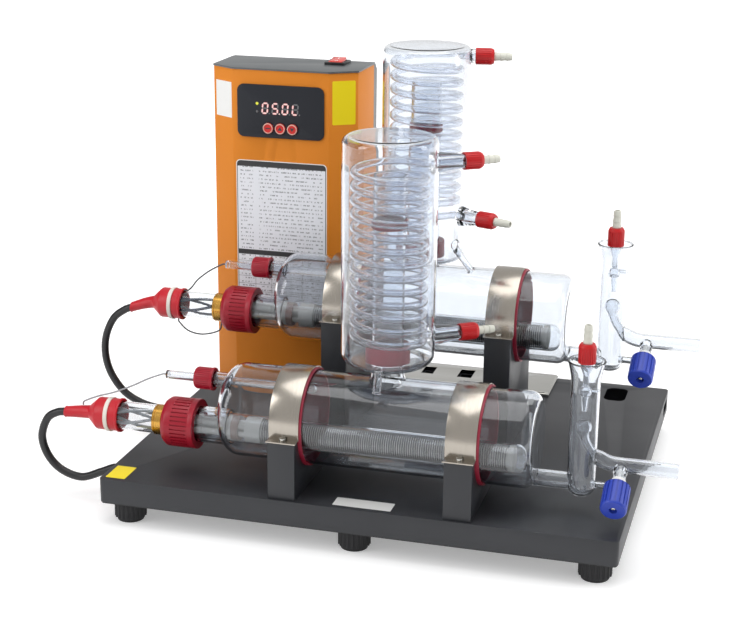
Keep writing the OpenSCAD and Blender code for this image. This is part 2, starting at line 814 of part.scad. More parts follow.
module stopcock_knob() {
    bevel = 2.5;
    difference() {
        union() {
            post_z(0, 0, knob_start, knob_start + knob_l - bevel, knob_d / 2);
            translate([0, 0, knob_start + knob_l - bevel])
                cylinder(h = bevel, r1 = knob_d / 2, r2 = knob_d / 2 - 1.5);
        }
        flutes(knob_d / 2, knob_start + 3, knob_start + knob_l - 9, 18, 0.8);
        post_z(0, 0, knob_start - 1, knob_start + knob_l - 8 + seat_fit, stem_tail_r + run_fit);
        post_z(0, 0, knob_start + knob_l - 1.5, knob_start + knob_l + 1, 4.2, $fn = 32);
    }
}

module stopcock_place(y, z) {
    translate([chamber_x, y, z]) along_stopcock() children();
}

module front_stopcock_stem() {
    color("#f2f2ee") stopcock_place(front_y, front_z) stopcock_stem();
}

module rear_stopcock_stem() {
    color("#f2f2ee") stopcock_place(rear_y, rear_z) stopcock_stem();
}

module front_stopcock_knob() {
    color("#2a3fb0") stopcock_place(front_y, front_z) stopcock_knob();
}

module rear_stopcock_knob() {
    color("#2a3fb0") stopcock_place(rear_y, rear_z) stopcock_knob();
}

// ---------- heaters ----------

heater_lines = [[front_y, front_z - heater_drop], [rear_y, rear_z - heater_drop]];
well_lines = [[front_y, front_z + well_rise], [rear_y, rear_z + well_rise]];

module heater_sheaths() {
    color("#e6eef2")
        for (h = heater_lines)
            difference() {
                union() {
                    rod_x(sheath_left, sheath_right - sheath_r, h[0], h[1], sheath_r);
                    translate([sheath_right - sheath_r, h[0], h[1]]) sphere(sheath_r);
                }
                rod_x(sheath_left - 1, sheath_right - sheath_r, h[0], h[1], sheath_bore_r);
                translate([sheath_right - sheath_r, h[0], h[1]]) sphere(sheath_bore_r);
            }
}

winding_rings = 8;
winding_mean_r = sheath_bore_r - 1 - heater_wire_d / 2;
winding_pitch = (winding_l - 4 * heater_wire_d) / heater_turns;

// Centre line of the heating wire, along X, leaving each sleeve's face square
function winding_path(y, z) = concat(
    [[winding_left, y + winding_mean_r, z], [winding_left + heater_wire_d, y + winding_mean_r, z]],
    [for (i = [1:heater_turns * winding_rings - 1])
        let (a = i * 360 / winding_rings)
        [winding_left + 2 * heater_wire_d + winding_pitch * i / winding_rings,
            y + winding_mean_r * cos(a), z + winding_mean_r * sin(a)]],
    [[winding_right - heater_wire_d, y + winding_mean_r, z], [winding_right, y + winding_mean_r, z]]);

echo("least gap between turns of a heater winding, mm",
    least_gap(winding_path(0, 0), winding_rings - 2, heater_wire_d));

module heater_windings() {
    color("#8d8a86")
        for (h = heater_lines) swept_tube(winding_path(h[0], h[1]), heater_wire_d / 2, 6, [0, 0, 1]);
}

// Ceramic rod inside the winding, its two sleeves, a spacer disc and four beads
module heater_ceramics() {
    core_r = winding_mean_r * cos(180 / winding_rings) - heater_wire_d / 2 - seat_fit;
    sleeve_r = sheath_bore_r - seat_fit;
    bead_l = 16;
    color("#f1eee6")
        for (h = heater_lines)
            union() {
                rod_x(winding_left - 1, winding_right + 1, h[0], h[1], core_r);
                rod_x(winding_left - sleeve_l, winding_left, h[0], h[1], sleeve_r);
                rod_x(winding_right, winding_right + sleeve_l - 12, h[0], h[1], sleeve_r);
                for (sy = [-1, 1], sz = [-1, 1])
                    rod_x(winding_left - sleeve_l - bead_l - 1, winding_left - sleeve_l + 1,
                        h[0] + sy * 4.6, h[1] + sz * 4.6, 3.4, $fn = 32);
                rod_x(winding_left - sleeve_l - bead_l - 5, winding_left - sleeve_l - bead_l,
                    h[0], h[1], sleeve_r);
            }
}

module brass_collars() {
    color("#b8934a")
        for (h = heater_lines)
            difference() {
                rod_x(brass_left, brass_left + brass_l, h[0], h[1], brass_r);
                rod_x(brass_left - 1, brass_left + brass_l + 1, h[0], h[1], sheath_r + seat_fit / 2);
            }
}

// Ribbed screw cap round the heater, its open end towards the boiler
module heater_cap(h) {
    translate([large_cap_right, h[0], h[1]]) rotate([0, -90, 0]) difference() {
        union() {
            cylinder(h = large_cap_l - 4, r = large_cap_d / 2);
            translate([0, 0, large_cap_l - 4])
                cylinder(h = 4, r1 = large_cap_d / 2, r2 = large_cap_d / 2 - 3);
        }
        difference() {
            flutes(large_cap_d / 2 + 0.4, 7, large_cap_l - 5, 36, 0.9);
            translate([0, 0, -1]) cylinder(h = 5, r = large_cap_d);
        }
        translate([0, 0, -1])
            cylinder(h = large_cap_l - cap_end_wall + 1, r = large_neck_r + thread_gap);
        cylinder(h = large_cap_l + 1, r = sheath_r + thread_gap);
    }
}

module front_heater_cap() {
    color("#a51b35") heater_cap(heater_lines[0]);
}

module rear_heater_cap() {
    color("#a51b35") heater_cap(heater_lines[1]);
}

// Silicone: seal rings in the large caps, bungs and bands round the risers
module silicone_seals() {
    seal_left = large_cap_left + cap_end_wall + seat_fit;
    ring_h = 9;
    color("#b3273f") {
        for (h = heater_lines)
            difference() {
                rod_x(seal_left, large_neck_end - seat_fit, h[0], h[1], large_neck_r - 0.2);
                rod_x(seal_left - 1, large_neck_end, h[0], h[1], sheath_r + seat_fit / 2);
            }
        for (w = well_lines)
            difference() {
                rod_x(well_cap_left + well_cap_wall + seat_fit, well_neck_end - seat_fit, w[0], w[1],
                    well_neck_r - 0.2);
                rod_x(well_cap_left, well_neck_end, w[0], w[1], well_d / 2 + seat_fit / 2);
            }
        for (c = [front_condenser, rear_condenser]) {
            translate(c) difference() {
                post_z(0, 0, 0.5, 0.5 + bung_h, bung_r);
                cylinder(h = bung_h + 2, r = riser_r + seat_fit / 2);
            }
            translate(c + [0, 0, jacket_h - riser_below_top - 45 - ring_h]) difference() {
                cylinder(h = ring_h, r = riser_r + 1.8);
                translate([0, 0, -1]) cylinder(h = ring_h + 2, r = riser_r + seat_fit / 2);
            }
        }
    }
}

// Silicone boots over the open ends of the sheaths; the cable leaves the narrow end
module lead_boots() {
    boot_bore_end = sheath_left - 1;
    sleeve_r = 7.4;
    tip_r = 5.8;
    color("#cf1b38")
        for (h = heater_lines)
            translate([boot_right, h[0], h[1]]) rotate([0, -90, 0]) difference() {
                union() {
                    cylinder(h = boot_l, r = boot_d / 2);
                    translate([0, 0, boot_l - 0.01])
                        cylinder(h = boot_cone_l + 0.02, r1 = boot_d / 2, r2 = sleeve_r);
                    translate([0, 0, boot_l + boot_cone_l])
                        cylinder(h = boot_sleeve_l, r1 = sleeve_r, r2 = tip_r);
                }
                translate([0, 0, -1])
                    cylinder(h = boot_right - boot_bore_end + 1, r = sheath_r + seat_fit);
            }
}

// ---------- thermowells ----------

well_out = 34;
well_reach = 95;
well_left = well_cap_left - well_out;
well_right = boiler_left + well_reach;

module thermowells() {
    color("#e6eef2")
        for (w = well_lines)
            difference() {
                union() {
                    rod_x(well_left, well_right, w[0], w[1], well_d / 2);
                    translate([well_right, w[0], w[1]]) sphere(well_d / 2);
                }
                rod_x(well_left + 3, well_right, w[0], w[1], well_d / 2 - 1.2);
            }
}

module thermowell_cap(w) {
    translate([well_cap_right, w[0], w[1]]) rotate([0, -90, 0]) difference() {
        union() {
            cylinder(h = well_cap_l - 2, r = well_cap_d / 2);
            translate([0, 0, well_cap_l - 2])
                cylinder(h = 2, r1 = well_cap_d / 2, r2 = well_cap_d / 2 - 1.4);
        }
        flutes(well_cap_d / 2 + 0.2, 4, well_cap_l - 3, 22, 0.6);
        translate([0, 0, -1])
            cylinder(h = well_cap_l - well_cap_wall + 1, r = well_neck_r + thread_gap);
        cylinder(h = well_cap_l + 1, r = well_d / 2 + run_fit);
    }
}

module front_thermowell_cap() {
    color("#b01d36") thermowell_cap(well_lines[0]);
}

module rear_thermowell_cap() {
    color("#b01d36") thermowell_cap(well_lines[1]);
}

// ---------- condensers ----------

outlet_r = 4.1;

// Places a shape drawn upwards along an outlet tube, from its bulb
module along_outlet(outlet) {
    rotate([0, 0, outlet[0]]) translate([outlet[1], 0, outlet[2]])
        rotate([0, 180 - outlet[3], 0]) children();
}

// Cone and threaded neck of a side port
module port_neck(port) {
    root = jacket_r - 5;
    tip = jacket_r + port[2];
    tip_r = hose_neck_r + 1;
    radial(0, 0, port[1], port[0]) {
        translate([0, 0, root]) cylinder(h = tip - root, r1 = tip_r + min(5, port[2] / 5), r2 = tip_r);
        translate([0, 0, tip - 1]) cylinder(h = hose_neck_l + 1, r = hose_neck_r);
    }
}

module jacket(c, ports, outlet) {
    wall = 2.2;
    bottom_r = 13;
    top_r = 8;
    bulb_r = 8;
    bore_r = outlet_r - 1.4;
    translate(c) difference() {
        union() {
            round_can(jacket_r, jacket_h, bottom_r, top_r);
            for (port = ports) port_neck(port);
            along_outlet(outlet) {
                sphere(bulb_r);
                cylinder(h = outlet[4], r = outlet_r);
                translate([0, 0, outlet[4] - 1.2]) rotate_extrude()
                    translate([outlet_r, 0]) circle(1.2, $fn = 24);
            }
        }
        translate([0, 0, wall])
            round_can(jacket_r - wall, jacket_h - 2 * wall, bottom_r - wall, top_r - wall);
        post_z(0, 0, -cut_over, wall + cut_over, bung_r + run_fit);
        for (port = ports)
            radial(0, 0, port[1], port[0])
                post_z(0, 0, jacket_r - 8, jacket_r + port[2] + hose_neck_l + cut_over, hose_bore_r);
        along_outlet(outlet) {
            sphere(bulb_r - 1.4);
            cylinder(h = outlet[4] + cut_over, r = bore_r);
        }
    }
}

front_condenser = [front_condenser_x, front_y, front_jacket_z];
rear_condenser = [rear_condenser_x, rear_y, rear_jacket_z];

module front_condenser_jacket() {
    color("#d8e6ee") jacket(front_condenser, front_ports, front_outlet);
}

module rear_condenser_jacket() {
    color("#d8e6ee") jacket(rear_condenser, rear_ports, rear_outlet);
}

coil_rings = 16;
coil_bend_spans = 3;

// Centre line of a coil: in through the lower port, round the turns, out through the upper port
function coil_path(c, ports) =
    let (
        low = ports[0],
        high = ports[1],
        rise = high[1] - low[1],
        turns = round(rise / coil_pitch),
        steps = turns * coil_rings,
        sweep = 360 * turns + low[0] - high[0] - 2 * coil_bend_angle,
        bend = [for (i = [0:coil_bend_spans - 1]) let (a = i * (90 - coil_bend_angle) / coil_bend_spans)
            [coil_bend_start_r - coil_bend_r * sin(a), coil_bend_r * (1 - cos(a))]])
    concat(
        [c + [coil_end_r * cos(low[0]), coil_end_r * sin(low[0]), low[1]]],
        [for (b = bend) c + [b[0] * cos(low[0]) + b[1] * sin(low[0]),
            b[0] * sin(low[0]) - b[1] * cos(low[0]), low[1]]],
        [for (i = [0:steps])
            let (a = low[0] - coil_bend_angle - sweep * i / steps)
            c + [coil_mean_r * cos(a), coil_mean_r * sin(a), low[1] + rise * i / steps]],
        [for (i = [coil_bend_spans - 1:-1:0])
            let (b = bend[i])
            c + [b[0] * cos(high[0]) - b[1] * sin(high[0]),
                b[0] * sin(high[0]) + b[1] * cos(high[0]), high[1]]],
        [c + [coil_end_r * cos(high[0]), coil_end_r * sin(high[0]), high[1]]]);

for (ports = [front_ports, rear_ports])
    echo("least gap between turns of a condenser coil, mm",
        least_gap(coil_path([0, 0, 0], ports), coil_rings - 3, coil_tube_d));

module front_condenser_coil() {
    color("#c9dbe6") swept_tube(coil_path(front_condenser, front_ports), coil_tube_d / 2, 6, [0, 0, 1]);
}

module rear_condenser_coil() {
    color("#c9dbe6") swept_tube(coil_path(rear_condenser, rear_ports), coil_tube_d / 2, 6, [0, 0, 1]);
}

// Places a cap or a barb on a port, drawn outwards from the cap's open end
module port_place(c, port) {
    radial(c[0], c[1], c[2] + port[1], port[0])
        translate([0, 0, jacket_r + port[2] + seat_fit]) children();
}

module front_upper_port_cap() {
    color("#c8232f") port_place(front_condenser, front_ports[1]) hose_cap();
}

module front_lower_port_cap() {
    color("#c8232f") port_place(front_condenser, front_ports[0]) hose_cap();
}

module rear_upper_port_cap() {
    color("#c8232f") port_place(rear_condenser, rear_ports[1]) hose_cap();
}

module rear_lower_port_cap() {
    color("#c8232f") port_place(rear_condenser, rear_ports[0]) hose_cap();
}

module front_port_barbs() {
    color("#dcdcd2")
        for (port = front_ports) port_place(front_condenser, port) hose_barb();
}

module rear_port_barbs() {
    color("#dcdcd2")
        for (port = rear_ports) port_place(rear_condenser, port) hose_barb();
}

// ---------- control box ----------

// Outline of the cover from above, moved inwards by t on every side but the back
function cover_outline(t) =
    let (
        slant = norm([bevel_w, bevel_d]),
        side_y = box_y + bevel_d + t * (slant - bevel_d) / bevel_w,
        front_x = box_x + t * slant / bevel_d + bevel_w * (bevel_d - t) / bevel_d,
        mirrored = box_x + box_right)
    [[box_x + t, cover_back], [box_x + t, side_y], [front_x, box_y + t],
        [mirrored - front_x, box_y + t], [box_right - t, side_y], [box_right - t, cover_back]];

cover_z0 = deck_z + sheet_t;
cover_z1 = box_top - top_plate_t;

// Round-cornered window cut through the front of the cover behind the panel
module through_front(x, z, w, h, r, y0, y1) {
    translate([x, y1, z]) rotate([90, 0, 0]) linear_extrude(y1 - y0) rounded_rect(w, h, r);
}

button_xs = [-1, 0, 1] * button_pitch + [1, 1, 1] * panel_x;
button_stem_r = 3;
board_back = 12;

module box_cover() {
    color("#d0823c") difference() {
        translate([0, 0, cover_z0]) linear_extrude(cover_z1 - cover_z0) polygon(cover_outline(0));
        translate([0, 0, cover_z0 - 1]) linear_extrude(cover_z1 - cover_z0 + 2)
            polygon(concat([[box_x + sheet_t, cover_back + 1]], cover_outline(sheet_t),
                [[box_right - sheet_t, cover_back + 1]]));
        for (x = button_xs)
            translate([x, box_y - 1, button_z]) rotate([-90, 0, 0])
                cylinder(h = sheet_t + 2, r = button_stem_r + run_fit, $fn = 40);
        through_front(panel_x - 3, box_top - 46, 52, 19, 2, box_y - 1, box_y + sheet_t + 1);
        translate([box_x - 1, cover_back - seat_fit, cover_z0 - 1])
            cube([box_w + 2, 2, cover_z1 - cover_z0 + 2]);
    }
}

// Rear pan, base plate and top plate of the box, bent from one sheet
module box_chassis() {
    wall = sheet_t;
    lean = pan_d * 0.7;
    color("#45474b") difference() {
        union() {
            translate([0, 0, deck_z]) linear_extrude(sheet_t) polygon(cover_outline(0));
            translate([0, 0, cover_z1]) linear_extrude(top_plate_t) polygon(cover_outline(-0.8));
            translate([box_x, cover_back, 0]) rotate([90, 0, 90]) linear_extrude(box_w)
                polygon([[-0.01, deck_z], [pan_d, deck_z], [pan_d, box_top - lean], [pan_d - lean, box_top],
                    [-0.01, box_top]]);
        }
        translate([box_x + wall, cover_back - 0.02, 0]) rotate([90, 0, 90]) linear_extrude(box_w - 2 * wall)
            polygon([[0, deck_z + wall], [pan_d - wall, deck_z + wall], [pan_d - wall, box_top - lean - 1],
                [pan_d - lean - 1, box_top - top_plate_t], [0, box_top - top_plate_t]]);
        translate([switch_x - switch_w / 2 + 2, switch_y - switch_d / 2 + 2, cover_z1 - 1])
            cube([switch_w - 4, switch_d - 4, top_plate_t + 2]);
    }
}

module display_panel() {
    color("#141416") difference() {
        through_front(panel_x, panel_z, panel_w, panel_h, 8, box_y - panel_t, box_y);
        for (x = button_xs)
            translate([x, box_y - panel_t - 1, button_z]) rotate([-90, 0, 0])
                cylinder(h = panel_t + 2, r = button_d / 2 + run_fit);
    }
}

// A push button with its stem, pressed along +Y
module push_button(i) {
    head_back = box_y - button_travel - seat_fit;
    head_front = box_y - panel_t - button_proud;
    color("#d3202c") translate([button_xs[i], 0, button_z]) rotate([-90, 0, 0]) {
        post_z(0, 0, head_front + 0.8, head_back, button_d / 2);
        translate([0, 0, head_front]) cylinder(h = 0.8, r1 = button_d / 2 - 0.8, r2 = button_d / 2);
        post_z(0, 0, head_back - 0.5, box_y + 9, button_stem_r, $fn = 40);
    }
}

module button_left() {
    push_button(0);
}

module button_middle() {
    push_button(1);
}

module button_right() {
    push_button(2);
}

// Rocker switch in the top plate; the rocker turns about a pin along X
rocker_w = switch_w - 8;
rocker_d = switch_d - 7;
rocker_pin_z = box_top + 1;
rocker_tilt = 7;

module switch_frame() {
    body_w = switch_w - 4 - 2 * seat_fit;
    body_d = switch_d - 4 - 2 * seat_fit;
    color("#1a1a1c") difference() {
        union() {
            translate([switch_x - switch_w / 2, switch_y - switch_d / 2, box_top])
                cube([switch_w, switch_d, 3]);
            translate([switch_x - body_w / 2, switch_y - body_d / 2, box_top - 22])
                cube([body_w, body_d, 23]);
        }
        translate([switch_x - rocker_w / 2 - 0.3, switch_y - rocker_d / 2 - 0.4, box_top - 9])
            cube([rocker_w + 0.6, rocker_d + 0.8, 13]);
        rod_x(switch_x - rocker_w / 2 - 2, switch_x + rocker_w / 2 + 2, switch_y, rocker_pin_z,
            1.5 + run_fit, $fn = 32);
    }
}

// Side shape of the rocker about its pin: two top faces at an angle over a round belly
module rocker_side() {
    half = rocker_d / 2 - 0.4;
    intersection() {
        polygon([[-half, -2.5], [-3, -7], [3, -7], [half, -2.5],
            [half, 3.2 + half * tan(rocker_tilt)], [0, 3.2], [-half, 3.2 + half * tan(rocker_tilt)]]);
        circle(half);
    }
}

module switch_rocker() {
    color("#d2301f") translate([switch_x, switch_y, rocker_pin_z]) rotate([rocker_tilt, 0, 0]) union() {
        translate([-rocker_w / 2, 0, 0]) rotate([90, 0, 90]) linear_extrude(rocker_w) rocker_side();
        rod_x(-rocker_w / 2 - 1.6, rocker_w / 2 + 1.6, 0, 0, 1.5, $fn = 32);
    }
}

// Circuit board behind the panel with its display, key switches, relays and terminal strip
module control_board() {
    board_y = box_y + board_back;
    board_w = 100;
    board_h = 130;
    board_z = panel_z - 28;
    color("#2f6b45") union() {
        translate([panel_x - board_w / 2, board_y, board_z - board_h / 2]) cube([board_w, 1.6, board_h]);
        for (sx = [-1, 1], sz = [-1, 1])
            translate([panel_x + sx * (board_w / 2 - 6), box_y + sheet_t, board_z + sz * (board_h / 2 - 6)])
                rotate([-90, 0, 0]) cylinder(h = board_y - box_y - sheet_t + 1, r = 3, $fn = 24);
        translate([panel_x - 3 - 25, box_y + sheet_t + seat_fit, box_top - 54])
            cube([50, board_y - box_y - sheet_t, 16]);
        for (x = button_xs)
            translate([x - 3, box_y + 9 + button_travel + seat_fit, button_z - 3]) cube([6, 3, 6]);
        for (i = [0:2])
            translate([panel_x - 42 + i * 30, board_y + 1, board_z - 30]) cube([20, 17, 16]);
        translate([panel_x - 40, board_y + 1, board_z - 60]) cube([80, 13, 12]);
    }
}

// ---------- cables ----------

module front_heater_cable() {
    color("#1b1b1d") swept_tube(smooth(front_cable_route), cable_d / 2, 10, [0, 1, 0]);
}

module rear_heater_cable() {
    color("#1b1b1d") swept_tube(smooth(rear_cable_route), cable_d / 2, 10, [0, 1, 0]);
}

// Thin leads: from each thermowell to its boot, and under the rear tube to the brass collar
lead_r = 0.9;
lead_x = boot_right - 8;
boot_top = boot_d / 2 + 0.1;
collar_top = brass_r + 0.1;

module thin_lead(route) {
    color("#5a5a5e") swept_tube(smooth(route), lead_r, 8, [0, 1, 0]);
}

module front_thermowell_lead() {
    well_z = well_lines[0][1];
    thin_lead([
        [well_left, front_y, well_z], [well_left - 4, front_y, well_z], [-243, front_y, 147],
        [-262, front_y, 137], [-284, front_y, 127], [-302, front_y, 121], [-314, front_y, 116],
        [-320, front_y, 113], [-322, front_y, 111], [-322, front_y, 108.2]
    ]);
}

module rear_thermowell_lead() {
    well_z = well_lines[1][1];
    rim_z = heater_lines[1][1] + sheath_r + 1.15;
    thin_lead([
        [well_left, rear_y, well_z], [well_left - 4, rear_y, well_z], [-243, rear_y, 218],
        [-258, rear_y, 206], [-266, rear_y, 196], [boot_right + 4, rear_y, rim_z],
        [boot_right, rear_y, rim_z]
    ]);
}

module rear_collar_lead() {
    boot_z = heater_lines[1][1] - boot_top;
    collar_z = heater_lines[1][1] - collar_top;
    thin_lead([
        [lead_x, rear_y, boot_z], [lead_x, rear_y, boot_z - 4], [-272, rear_y, 142],
        [-254, rear_y, 139], [brass_left + 2, rear_y, 145], [brass_left + 6, rear_y, collar_z - 4],
        [brass_left + 6, rear_y, collar_z]
    ]);
}

base_tray();
bottom_plate();
service_plate();
cable_grommets();
foot(0);  // foot_front_left
foot(1);  // foot_front_middle
foot(2);  // foot_front_right
foot(3);  // foot_rear_left
foot(4);  // foot_rear_middle
foot(5);  // foot_rear_right
boiler_stands();
clamp_bands();
band_liners();
band_screws();
front_boiler();
rear_boiler();
front_level_chamber();
rear_level_chamber();
front_feed_cap();
rear_feed_cap();
feed_barbs();
front_stopcock_stem();
rear_stopcock_stem();
front_stopcock_knob();
rear_stopcock_knob();
heater_sheaths();
heater_windings();
heater_ceramics();
brass_collars();
front_heater_cap();
rear_heater_cap();
silicone_seals();
lead_boots();
thermowells();
front_thermowell_cap();
rear_thermowell_cap();
front_condenser_jacket();
rear_condenser_jacket();
front_condenser_coil();
rear_condenser_coil();
front_upper_port_cap();
front_lower_port_cap();
rear_upper_port_cap();
rear_lower_port_cap();
front_port_barbs();
rear_port_barbs();
box_chassis();
box_cover();
display_panel();
switch_frame();
switch_rocker();
button_left();
button_middle();
button_right();
control_board();
front_heater_cable();
rear_heater_cable();
front_thermowell_lead();
rear_thermowell_lead();
rear_collar_lead();
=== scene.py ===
# %% [markdown]
# # A double-stage glass water distiller
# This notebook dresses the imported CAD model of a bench-top water distiller. The CAD part
# stays fixed in metres. We put the camera where the photographer stood, light the bench
# like a small product studio, and then model the glass, silicone and fittings finely.

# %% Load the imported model
from math import asin, cos, pi, radians, sin, tan

import bpy
from mathutils import Matrix, Vector


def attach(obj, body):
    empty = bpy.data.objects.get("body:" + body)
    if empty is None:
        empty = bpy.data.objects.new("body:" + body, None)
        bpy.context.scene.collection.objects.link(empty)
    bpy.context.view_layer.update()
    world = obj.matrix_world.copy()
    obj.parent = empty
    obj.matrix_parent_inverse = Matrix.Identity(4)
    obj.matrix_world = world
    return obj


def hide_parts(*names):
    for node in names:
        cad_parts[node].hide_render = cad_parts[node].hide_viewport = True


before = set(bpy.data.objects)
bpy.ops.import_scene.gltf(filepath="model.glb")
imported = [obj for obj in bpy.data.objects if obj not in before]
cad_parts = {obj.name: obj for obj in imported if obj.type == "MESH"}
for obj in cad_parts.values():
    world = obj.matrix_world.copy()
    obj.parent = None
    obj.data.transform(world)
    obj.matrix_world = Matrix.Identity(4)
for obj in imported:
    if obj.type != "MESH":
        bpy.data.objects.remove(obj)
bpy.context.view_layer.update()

# %% [markdown]
# The camera was fitted to the tray, the boilers and the box: an 80.7 mm lens on a 36 mm
# sensor, 1.86 m away, looking down by 17 degrees from 15.5 degrees right of the front.

# %% Camera
CAMERA_AT = (0.4355, -1.7261, 0.7400)
CAMERA_TO = (-0.0399, -0.0174, 0.1916)
CAMERA_ROLL = 0.52


def aimed(at, to):
    """A matrix that stands at one point and looks at another."""
    turn = (Vector(to) - Vector(at)).to_track_quat("-Z", "Y").to_matrix().to_4x4()
    return Matrix.Translation(Vector(at)) @ turn


camera_data = bpy.data.cameras.new("camera")
camera_data.lens = 80.7
camera_data.sensor_width = 36.0
camera_data.clip_start = 0.05
camera_data.clip_end = 60.0
camera = bpy.data.objects.new("camera", camera_data)
bpy.context.scene.collection.objects.link(camera)
camera.matrix_world = (aimed(CAMERA_AT, CAMERA_TO)
                       @ Matrix.Rotation(radians(CAMERA_ROLL), 4, "Z"))
bpy.context.scene.camera = camera
bpy.context.scene.view_settings.view_transform = "Standard"
cycles = bpy.context.scene.cycles
cycles.max_bounces = 40
cycles.transmission_bounces = 36
cycles.transparent_max_bounces = 40
cycles.glossy_bounces = 10
cycles.diffuse_bounces = 4
print("camera", tuple(round(v, 3) for v in camera.location))

# %% [markdown]
# Named sizes are worth more than numbers scattered through a script. These are the
# distiller's own levels, in millimetres, as the CAD source has them.

# %% Sizes of the distiller
MM = 0.001
DECK = 52.0
FRONT_Y, REAR_Y = -168.0, 18.0
FRONT_Z, REAR_Z = DECK + 72.0, DECK + 145.5
BOILER_R, BOILER_LEFT, BOILER_RIGHT = 50.0, -153.0, 183.0
GLASS = 2.4
HEATER_DROP, WELL_RISE, LINK_DROP = 23.0, 30.0, 40.0
# Each stage: depth and height of its boiler's axis, its riser's X, its jacket's foot.
STAGES = {"front": (FRONT_Y, FRONT_Z, 23.0, FRONT_Z + 68.0),
          "rear": (REAR_Y, REAR_Z, 14.0, REAR_Z + 58.5)}
HEATER_AXES = [(0, y, z - HEATER_DROP) for y, z, _, _ in STAGES.values()]
WELL_AXES = [(0, y, z + WELL_RISE) for y, z, _, _ in STAGES.values()]
RIGHT, LEFT, FORWARD, UP = (1, 0, 0), (-1, 0, 0), (0, -1, 0), (0, 0, 1)
print("stages", STAGES)

# %% [markdown]
# The cords come before anything else, because their routes decide how much room the whole
# model takes. A real mains cable leaves its boot straight, drops under its own weight and
# enters the tray through a rubber grommet. We repeat the route's points from the CAD
# source and join them with a smooth curve that passes through every one of them.

# %% Routes of the cables and leads
def smooth_route(points, steps=8):
    """Points in millimetres on a curve through the given ones; first and last span straight."""
    p = [Vector(q) for q in points]
    route = [p[0]]
    for i in range(1, len(p) - 2):
        a, b, c, d = p[i - 1], p[i], p[i + 1], p[i + 2]
        for k in range(steps):
            t = k / steps
            route.append(0.5 * (2 * b + (c - a) * t + (2 * a - 5 * b + 4 * c - d) * t * t
                                + (3 * b - a - 3 * c + d) * t ** 3))
    return [q * MM for q in route + [p[-2], p[-1]]]


def poly_curve(name, points, radii, depth, resolution, capped):
    """A round-bevelled poly curve through points in metres, with a radius at each."""
    data = bpy.data.curves.new(name, "CURVE")
    data.dimensions = "3D"
    data.bevel_depth = depth
    data.bevel_resolution = resolution
    data.use_fill_caps = capped
    spline = data.splines.new("POLY")
    spline.points.add(len(points) - 1)
    for point, place, radius in zip(spline.points, points, radii):
        point.co = (*place, 1.0)
        point.radius = radius
    curve = bpy.data.objects.new(name, data)
    bpy.context.scene.collection.objects.link(curve)
    return curve


def lay_cord(node, points, diameter):
    """A round cord along its route, which stands for a CAD node."""
    route = smooth_route(points)
    cord = poly_curve("dressed_" + node, route, [diameter * MM / 2] * len(route), 1.0, 4, True)
    cord.data.splines[0].use_smooth = True
    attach(cord, "frame")
    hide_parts(node)
    return cord


BOOT_END, SHEATH_END = -343.7, -301.7
CABLE_D, LEAD_D = 9.0, 1.8
# Each cord: the depth it hangs at, its diameter, its look and its route as (X, Z).
CORDS = {
    "front_heater_cable": (FRONT_Y, CABLE_D, "cable_jacket", [
        (BOOT_END, 98), (-351.7, 96.9), (-366, 88), (-374, 66), (-368, 44), (-352, 28),
        (-328, 22), (-304, 31), (-288, 38), (-280, 38)]),
    "rear_heater_cable": (REAR_Y, CABLE_D, "cable_jacket", [
        (BOOT_END, 164.5), (-351, 161.5), (-367, 149), (-378, 126), (-380, 101), (-373, 77),
        (-357, 56), (-335, 44), (-310, 39), (-288, 38), (-280, 38)]),
    "front_thermowell_lead": (FRONT_Y, LEAD_D, "pale_sleeve", [
        (-222, 154), (-226, 154), (-243, 147), (-262, 137), (-284, 127), (-302, 121),
        (-314, 116), (-320, 113), (-322, 111), (-322, 108.2)]),
    "rear_thermowell_lead": (REAR_Y, LEAD_D, "lead_sleeve", [
        (-222, 227.5), (-226, 227.5), (-243, 218), (-258, 206), (-266, 196),
        (-271.7, 191.15), (-275.7, 191.15)]),
    "rear_collar_lead": (REAR_Y, LEAD_D, "lead_sleeve", [
        (-283.7, 156.65), (-283.7, 152.65), (-272, 142), (-254, 139), (-233.7, 145),
        (-229.7, 153.9), (-229.7, 157.9)])}
cords = {node: lay_cord(node, [(x, y, z) for x, z in route], diameter)
         for node, (y, diameter, _, route) in CORDS.items()}

# %% [markdown]
# Paints and plastics are written as the sRGB hex values that an artist would pick with an
# eyedropper. Cycles works in linear light, so one function converts them. The others add
# a shader node, set its values and plug in its links, so that a look reads as a recipe.

# %% Colour and node helpers
looks = {}


def linear(hex_value, share=1.0):
    """A linear RGBA colour from an sRGB hex string such as 'd0823c', or a share of it."""
    channels = [int(hex_value[i:i + 2], 16) / 255 for i in (0, 2, 4)]
    return tuple(share * (c / 12.92 if c <= 0.04045 else ((c + 0.055) / 1.055) ** 2.4)
                 for c in channels) + (1.0,)


def add_node(tree, kind, values=None, links=None, **settings):
    """Adds a node, sets its properties and sockets, and links other sockets into it."""
    made = tree.nodes.new(kind)
    for key, value in settings.items():
        setattr(made, key, value)
    for key, value in (values or {}).items():
        made.inputs[key].default_value = value
    for key, source in (links or {}).items():
        tree.links.new(source, made.inputs[key])
    return made


def noise(tree, place, scale, detail=2.0):
    return add_node(tree, "ShaderNodeTexNoise", {"Scale": scale, "Detail": detail},
                    {"Vector": place}).outputs["Fac"]


def spread(tree, source, low, high):
    """Carries a value from 0..1 over to low..high."""
    return add_node(tree, "ShaderNodeMapRange", {"To Min": low, "To Max": high},
                    {"Value": source}).outputs["Result"]


def blend(tree, source, first, second):
    """Mixes two colours by a value."""
    return add_node(tree, "ShaderNodeMix", {"A": first, "B": second}, {"Factor": source},
                    data_type="RGBA").outputs["Result"]


def relief(tree, source, strength, distance):
    """Turns a value into a bump."""
    return add_node(tree, "ShaderNodeBump", {"Strength": strength, "Distance": distance},
                    {"Height": source}).outputs["Normal"]


